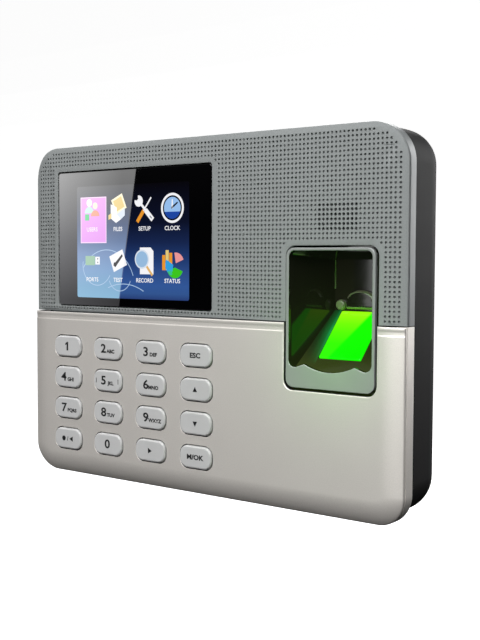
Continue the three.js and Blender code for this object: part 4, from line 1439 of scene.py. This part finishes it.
def picture_inks():
    colors = {
        "white": (245, 245, 248), "pale": (214, 224, 236), "grey": (120, 126, 134),
        "black": (14, 12, 14), "cream": (250, 240, 205), "yellow": (228, 200, 120),
        "orange": (232, 150, 44), "coral": (226, 150, 120), "mint": (190, 226, 214),
        "green": (60, 200, 120), "navy": (10, 14, 30), "sky": (150, 190, 236),
        "blue": (30, 70, 160), "leaf": (150, 190, 160), "ice": (150, 186, 220), "sand": (226, 180, 110),
        "aqua": (50, 160, 222), "rose": (232, 150, 150), "lime": (60, 196, 30), "tile": (224, 150, 232),
        "edge": (250, 214, 250), "map": (168, 196, 226),
    }  # fmt: skip
    return {name: lit_color("picture_" + name, paint(*rgb)) for name, rgb in colors.items()}


def make_picture():
    ink = picture_inks()
    picture = Picture()
    left, right = PICTURE["x"] - PICTURE["width"] / 2, PICTURE["x"] + PICTURE["width"] / 2
    low, high = PICTURE["z"] - PICTURE["height"] / 2, PICTURE["z"] + PICTURE["height"] / 2
    corners = [(x, z) for x, z, _, _ in rounded_rect(left, right, low, high, 0.8 * MM, 4)]
    picture.add(corners, 0, lit_picture())
    arcs = ((15, -45, 9, 20, 150), (8, -50, 18, 170, 330), (22, -36, -11, 62, 112), (6, -38, 14, 200, 340))
    for radius, x, z, start, end in arcs:
        picture.add(rotated(ring_band(radius, 0.3, start, end), x * MM, z * MM, 0), 1, ink["map"])
    tile = rect_points(14.0, 17.8)
    picture.add(rotated(tile, ICON_COLUMNS[0] + 0.6 * MM, 35.4 * MM, 0), 1, ink["edge"])
    picture.add(rotated(rect_points(13.3, 17.1), ICON_COLUMNS[0] + 0.6 * MM, 35.4 * MM, 0), 2, ink["tile"])
    icons = [
        [icon_people, icon_files, icon_tools, icon_clock],
        [icon_ports, icon_test, icon_record, icon_status],
    ]
    for row, z in zip(icons, ICON_ROWS):
        for draw, x in zip(row, ICON_COLUMNS):
            draw(picture, x, z, ink)
    screen = picture.finish("display_picture")
    finished(screen, "terminal", "lens_black")
    labels = []
    for row, words in enumerate(LABELS):
        for x, word in zip(ICON_COLUMNS, words):
            z = ICON_ROWS[row] - 7.4 * MM
            labels.append((words_on_face(word, 2.2 * MM, x, LENS_LOW.y - 0.12 * MM, z, 0.03 * MM), 0))
    lettering = join_meshes("display_labels", labels, [ink["white"]])
    finished(lettering, "terminal", "lens_black")
    return screen, lettering


# ---------------------------------------------------------------- keys

LEGENDS = {
    "key_1": ("1", ""),
    "key_2": ("2", "ABC"),
    "key_3": ("3", "DEF"),
    "key_4": ("4", "GHI"),
    "key_5": ("5", "JKL"),
    "key_6": ("6", "MNO"),
    "key_7": ("7", "PQRS"),
    "key_8": ("8", "TUV"),
    "key_9": ("9", "WXYZ"),
    "key_0": ("0", ""),
    "key_esc": ("", "ESC"),
    "key_ok": ("", "M/OK"),
}
KEY_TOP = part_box("key_1")[0].y + 0.03 * MM
KEY_ROUND = {"width": 0.8 * MM, "depth": 0.75 * MM}


def key_body(node):
    centre = middle(node)
    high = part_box(node)[1]
    half_x, half_z = 4.5 * MM, 1.8 * MM
    left, right = centre.x - half_x, centre.x + half_x
    stem = rounded_rect(left, right, centre.z - half_z, centre.z + half_z, 0.6 * MM, 8)
    outline = key_outline(node)
    flange = key_outline(node, 1.1 * MM)
    rings = [
        ring(stem, high.y),
        ring(stem, -27.9 * MM),
        ring(flange, -27.9 * MM),
        ring(flange, -28.7 * MM),
        ring(outline, -28.7 * MM),
    ]
    for i in range(7):
        angle = i / 6 * math.pi / 2
        y = KEY_TOP + KEY_ROUND["depth"] * (1 - math.sin(angle))
        rings.append(ring(outline, y, KEY_ROUND["width"] * (1 - math.cos(angle))))
    vertices = [point for points in rings for point in points]
    return closed_mesh(node, vertices, skin_faces(0, len(rings[0]), len(rings)))


def prism(points, y, thickness=0.012 * MM):
    rings = [[Vector((x, level, z)) for x, z in points] for level in (y - thickness, y + thickness)]
    vertices = [point for ring_points in rings for point in ring_points]
    return closed_mesh("mark", vertices, skin_faces(0, len(points), 2))


DIGIT_ONE = [(0.6, -1.7), (0.6, 1.75), (-0.1, 1.75), (-1.05, 1.0), (-1.05, 0.3), (-0.3, 0.8), (-0.3, -1.7)]


def legend_meshes(node):
    """The digit with its letters, the word or the sign that is printed on a key."""
    centre = middle(node)
    y = KEY_TOP - 0.012 * MM
    x, z = centre.x, centre.z
    marks = []
    digit, letters = LEGENDS.get(node, ("", ""))
    if digit and letters:
        marks.append(words_on_face(digit, 4.7 * MM, x - 1.9 * MM, y, z, 0.11 * MM, 1.22))
        start = x - 0.15 * MM + 0.68 * MM * len(letters)
        marks.append(words_on_face(letters, 1.9 * MM, start, y, z - 0.85 * MM, 0.09 * MM, 1.1))
    elif digit == "1":
        marks.append(prism(rotated(DIGIT_ONE, x, z, 0), y))
    elif digit:
        marks.append(words_on_face(digit, 4.7 * MM, x, y, z, 0.11 * MM, 1.22))
    elif letters:
        marks.append(words_on_face(letters, 2.5 * MM, x, y, z, 0.1 * MM, 1.2))
    if node == "key_5":
        for side in (-1, 1):
            marks.append(prism(rotated(rect_points(0.3, 1.9), x + side * 5.8 * MM, z, 0), y))
    size = 1.05
    triangle = [(size, 0), (-size * 0.75, size), (-size * 0.75, -size)]
    turns = {"key_right": 0, "key_up": 90, "key_down": 270}
    if node in turns:
        marks.append(prism(rotated(triangle, x, z, turns[node]), y))
    if node == "key_power_left":
        marks.append(prism(rotated(triangle, x + 2.1 * MM, z, 180), y))
        marks.append(prism(rotated(disc_points(1.0), x - 2.1 * MM, z, 0), y))
        marks.append(prism(rotated(rect_points(0.25, 1.9), x, z, -15), y))
    return marks


def make_keys():
    for names in KEY_NAMES:
        for name in names:
            parts = [(key_body(name), 0)] + [(mesh, 1) for mesh in legend_meshes(name)]
            key = join_meshes(name + "_cap", parts, [KEY_GREY, LEGEND_BLACK])
            shade(key, 40)
            finished(key, name + "_body", "key_plastic", name)


# ---------------------------------------------------------------- finger well and sensor

MOUTH = {"half": 16.1 * MM, "top": 23.35 * MM, "bottom": -20 * MM, "radius": 2 * MM}
WELL_BACK = {"half": 11.3 * MM, "top": 20.5 * MM, "y": -8.7 * MM, "radius": 0.6 * MM}
GLASS = {"half_width": 8.15 * MM, "half_length": 10.6 * MM, "front": 0.3 * MM, "back": -2.1 * MM}


def mouth_points():
    """The surround's opening: square at the top, with two dips and the fingertip's scallop below."""
    left, right = WELL_MIDDLE - MOUTH["half"], WELL_MIDDLE + MOUTH["half"]
    top, radius, lobe = MOUTH["top"], MOUTH["radius"], 2.4 * MM
    floor, peak, reach, dip = -15.7 * MM, -14.5 * MM, 9.8 * MM, -16.8 * MM

    def arc(cx, cz, size, start, end, count):
        return [(cx + px * MM, cz + pz * MM) for px, pz in arc_points(size / MM, start, end, count)]

    points = arc(right - radius, top - radius, radius, 0, 90, 10)
    points += arc(left + radius, top - radius, radius, 90, 180, 10)
    points += arc(left + lobe, floor + lobe, lobe, 180, 288, 12)
    for i in range(25):
        share = i / 24 * 2 - 1
        points.append((WELL_MIDDLE + reach * share, dip + (peak - dip) * share**2))
    points += arc(right - lobe, floor + lobe, lobe, 252, 360, 12)
    return points


def make_surround():
    low, high = SURROUND_LOW, SURROUND_HIGH
    outline = rounded_rect(low.x, high.x, low.z, high.z, 3 * MM, 10)
    front, back = low.y, high.y
    edge = 0.3 * MM
    rings = [ring(outline, back)]
    for i in range(7):
        angle = i / 6 * math.pi / 2
        rings.append(ring(outline, front + edge * (1 - math.sin(angle)), edge * (1 - math.cos(angle))))
    surround = loft("sensor_surround_frame", rings)
    points = mouth_points()
    flare = 0.35 * MM
    cutter = [polygon_ring(points, front - 1 * MM, flare)]
    for i in range(6):
        angle = i / 5 * math.pi / 2
        y = front + flare * (1 - math.cos(angle))
        cutter.append(polygon_ring(points, y, flare * (1 - math.sin(angle))))
    cutter.append(polygon_ring(points, back + 1 * MM))
    combine(surround, loft("mouth", cutter))
    dress(surround, SURROUND_GREY)
    surround.data.materials.append(WELL_BLACK)
    # Painted shade: the mouth's walls behind its front edge take the well's black.
    middle_x, middle_z = WELL_MIDDLE, (MOUTH["top"] + MOUTH["bottom"]) / 2
    for polygon in surround.data.polygons:
        x, y, z = polygon.center
        inward = polygon.normal.x * (x - middle_x) + polygon.normal.z * (z - middle_z) < 0
        if inward and y > front + 0.1 * MM and abs(polygon.normal.y) < 0.5:
            polygon.material_index = 1
    shade(surround)
    finished(surround, "terminal", "surround_plastic", "sensor_surround")


def well_ring(y, spec, grow, steps=8):
    radius = spec["radius"] + grow / 2
    return rect_ring(
        WELL_MIDDLE - spec["half"] - grow,
        WELL_MIDDLE + spec["half"] + grow,
        MOUTH["bottom"] - grow,
        spec["top"] + grow,
        radius,
        y,
        steps,
    )


def slope_box(x0, x1, y0, y1, z0, z1):
    """A box in the slope's own frame: across, up the slope, and out of it."""
    corners = [(x0, y0), (x1, y0), (x1, y1), (x0, y1)]
    return [[ON_SLOPE @ Vector((x, y, z)) for x, y in corners] for z in (z0, z1)]


def make_well():
    wall = 1.2 * MM
    front = SURROUND_HIGH.y + 0.3 * MM
    rings = [well_ring(front, MOUTH, wall), well_ring(WELL_BACK["y"] + wall, WELL_BACK, wall)]
    outer = loft("finger_well_liner", rings)
    combine(outer, loft("cut", slope_box(-1, 1, -1, 1, -1.8 * MM, 1)), how="INTERSECT")
    low, high = OPENING_LOW, OPENING_HIGH
    grow = 1 * MM
    flange = rounded_rect(low.x - grow, high.x + grow, low.z - grow, high.z + grow, OPENING_RADIUS + grow)
    combine(outer, loft("flange", [ring(flange, -26.2 * MM), ring(flange, -25 * MM)]), how="UNION")
    hollow = loft("hollow", [well_ring(front - 1 * MM, MOUTH, 0), well_ring(WELL_BACK["y"], WELL_BACK, 0)])
    combine(hollow, loft("cut", slope_box(-1, 1, -1, 1, 0, 1)), how="INTERSECT")
    gap = 0.3 * MM
    x, y = GLASS["half_width"] + gap, GLASS["half_length"] + gap
    combine(outer, hollow, loft("window", slope_box(-x, x, -y, y, -6 * MM, 3 * MM)))
    stop, post, bead = finger_stop(), locating_post(), corner_highlight_bead()
    for piece in (outer, stop, post, bead):
        dress(piece, WELL_BLACK, WELL_PAINTED_HIGHLIGHT, WELL_SHELF)
    # The finger stop's faces that look up or down take the lighter material: painted highlights on its top
    # and lower edges.
    for polygon in stop.data.polygons:
        polygon.material_index = 1 if 0.2 < abs(polygon.normal.z) and polygon.normal.y < -0.05 else 0
    # The post and the corner bead are wholly in the lighter material: painted highlight and painted green
    # light.
    for piece in (post, bead):
        for polygon in piece.data.polygons:
            polygon.material_index = 1
    uphill = Vector((0, -math.sin(SLOPE), math.cos(SLOPE)))
    for polygon in outer.data.polygons:
        if polygon.normal.dot(uphill) > 0.99:
            polygon.material_index = 2
    combine(outer, stop, post, bead, how="UNION")
    shade(outer)
    return finished(outer, "terminal", "well_gloss", "finger_well")


def corner_highlight_bead():
    """The thin raised line where the well's left wall meets its back wall, in the lighter material: a painted
    highlight along that corner.
    """
    x, back = WELL_MIDDLE - WELL_BACK["half"], WELL_BACK["y"]
    points = circle_points(x + 0.05 * MM, back, 0.28 * MM, 12)
    low, high = 10.3 * MM, WELL_BACK["top"] + 0.2 * MM
    return loft("corner_highlight_bead", [[Vector((px, py, z)) for px, py in points] for z in (low, high)])


def rounded_boss(name, points, back, front, edge, steps=5):
    """A boss with an outline of (x, z) points and a rounded front edge."""
    rings = [polygon_ring(points, back)]
    for i in range(steps + 1):
        angle = i / steps * math.pi / 2
        y = front + edge * (1 - math.sin(angle))
        rings.append(polygon_ring(points, y, -edge * (1 - math.cos(angle))))
    return loft(name, rings)


def finger_stop():
    """The arched ledge on the well's back wall that stops the fingertip."""
    half, foot, shoulder, crown = 5.6 * MM, 3.4 * MM, 6.6 * MM, 10 * MM
    points = [(WELL_MIDDLE + half, foot), (WELL_MIDDLE + half, shoulder)]
    for i in range(1, 16):
        angle = i / 16 * math.pi
        points.append((WELL_MIDDLE + half * math.cos(angle), shoulder + (crown - shoulder) * math.sin(angle)))
    points += [(WELL_MIDDLE - half, shoulder), (WELL_MIDDLE - half, foot)]
    back = WELL_BACK["y"]
    return rounded_boss("finger_stop", points, back + 0.5 * MM, back - 2.2 * MM, 1.2 * MM)


def locating_post():
    """The round post beside the glass's upper corner."""
    back = WELL_BACK["y"]
    points = circle_points(WELL_MIDDLE - 8.5 * MM, 4.7 * MM, 1.9 * MM, 32)
    return rounded_boss("locating_post", points, back + 0.5 * MM, back - 1.6 * MM, 0.8 * MM)


def make_glass():
    x, y = GLASS["half_width"], GLASS["half_length"]
    front, back = GLASS["front"], GLASS["back"]
    edge = 0.25 * MM
    levels = [(back, 0), (front - edge, 0), (front - edge * 0.3, edge * 0.3), (front, edge)]
    rings = []
    for z, inset in levels:
        outline = rounded_rect(-x + inset, x - inset, -y + inset, y - inset, 0.5 * MM - inset * 0.5, 4)
        rings.append([ON_SLOPE @ Vector((px, pz, z)) for px, pz, _, _ in outline])
    glass = loft("sensor_glass_prism", rings, [SENSOR_GREEN])
    shade(glass)
    finished(glass, "terminal", "sensor_green_glass", "sensor_glass")


# ---------------------------------------------------------------- screws, sockets and the rest


def screw_mesh(name, length, head_radius, head_height):
    """A pan-head screw along Y with its tip at the origin, threaded, with a cross recess."""
    rings = []
    core, crest = 0.95 * MM, 1.2 * MM
    turns = int(length / (0.8 * MM))
    rings.append([Vector((x, 0, z)) for x, z in circle_points(0, 0, core * 0.5, 20)])
    for i in range(turns):
        start = 0.3 * MM + i * (length - 0.6 * MM) / turns
        step = (length - 0.6 * MM) / turns
        for share, radius in ((0.05, core), (0.35, core), (0.5, crest), (0.65, crest), (0.8, core)):
            rings.append([Vector((x, start + step * share, z)) for x, z in circle_points(0, 0, radius, 20)])
    base = length
    for y, radius in (
        (base, core),
        (base, head_radius * 0.97),
        (base + 0.12 * MM, head_radius),
        (base + head_height * 0.45, head_radius),
        (base + head_height * 0.8, head_radius * 0.86),
        (base + head_height * 0.96, head_radius * 0.6),
        (base + head_height, head_radius * 0.35),
    ):
        rings.append([Vector((x, y, z)) for x, z in circle_points(0, 0, radius, 20)])
    screw = loft(name, rings)
    top = base + head_height
    depth = min(1.1 * MM, head_height * 0.7)
    reach, width = head_radius * 0.55, 0.32 * MM
    slots = []
    for a, b in ((reach, width), (width, reach)):
        corners = ((1, 1), (-1, 1), (-1, -1), (1, -1))
        bottom = [Vector((i * a * 0.55, top - depth, k * b * 0.8)) for i, k in corners]
        upper = [Vector((i * a, top + 0.2 * MM, k * b)) for i, k in corners]
        slots.append(loft("slot", [bottom, upper]))
    combine(screw, *slots)
    dress(screw, SCREW_STEEL)
    shade(screw, 40)
    mesh = screw.data
    bpy.data.objects.remove(screw)
    return mesh


def place_screw(mesh, node, matrix):
    piece = bpy.data.objects.new(node + "_threaded", mesh.copy())
    piece.data.transform(matrix)
    bpy.context.scene.collection.objects.link(piece)
    shade(piece, 40)
    finished(piece, "terminal", "screw_steel", node)


def make_screws():
    case = screw_mesh("case_screw", 12 * MM, 2.5 * MM, 2 * MM)
    for name in CASE_FIXINGS:
        at, low = middle(name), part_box(name)[0]
        place_screw(case, name, Matrix.Translation((at.x, low.y, at.z)))
    board = screw_mesh("board_screw", 6 * MM, 2.3 * MM, 1.5 * MM)
    for name in BOARD_FIXINGS:
        at, high = middle(name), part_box(name)[1]
        place = Matrix.Translation((at.x, high.y, at.z))
        place_screw(board, name, place @ Matrix.Rotation(math.pi, 4, "X"))
    low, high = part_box("lock_screw")
    lock = screw_mesh("lock_screw", high.z - low.z - 2 * MM, 2.3 * MM, 2 * MM)
    place = Matrix.Translation((middle("lock_screw").x, middle("lock_screw").y, high.z))
    place_screw(lock, "lock_screw", place @ Matrix.Rotation(-math.pi / 2, 4, "X"))


def make_contacts():
    """Gold contacts in the network socket and in the USB socket's tongue."""
    low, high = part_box("network_socket")
    x, top = (low.x + high.x) / 2, low.z + 12 * MM
    pins = []
    for i in range(8):
        px = x + (i - 3.5) * 1.02 * MM
        front, back, bottom = low.y + 1.45 * MM, low.y + 1.85 * MM, low.z + 2 * MM
        pins.append(box_rings(px - 0.2 * MM, px + 0.2 * MM, front, back, bottom, top))
    piece = lofts("network_contacts", pins, [CONTACT_GOLD])
    finished(round_edges(piece, 0.08 * MM), "terminal", "socket_metal")
    low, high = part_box("usb_socket")
    x = (low.x + high.x) / 2
    pins = []
    for i in range(4):
        px = x + (i - 1.5) * 2.4 * MM
        front, back = low.y + 3.5 * MM, low.y + 3.65 * MM
        bottom, top = low.z + 1.8 * MM, low.z + 9 * MM
        pins.append(box_rings(px - 0.5 * MM, px + 0.5 * MM, front, back, bottom, top))
    piece = lofts("usb_contacts", pins, [CONTACT_GOLD])
    finished(round_edges(piece, 0.04 * MM), "terminal", "socket_metal")


def dress_frame_nodes():
    """Gives every node of the frame that still shows its material, and the outside ones soft edges."""
    slots = {row["node"]: row["material_slot"] for row in frame["record"]["subparts"]}
    for name, node in frame["nodes"].items():
        material = SLOT_MATERIALS[slots[name]]
        for i in range(len(node.data.materials)):
            node.material_slots[i].material = material
        if not node.material_slots:
            node.data.materials.append(material)
    for name in ("wall_plate", *SOCKETS):
        round_edges(frame["nodes"][name], 0.2 * MM)


# ---------------------------------------------------------------- assembly

bpy.context.scene.view_settings.view_transform = "Standard"
make_camera()
make_floor()
dress_frame_nodes()
make_housing()
make_upper_cover()
make_sheen([make_lower_cover()])
make_grille()
make_light()
make_window_card([make_lens(), *make_picture()])
make_keys()
make_surround()
make_well_card([make_well()])
make_glass()
make_screws()
make_contacts()
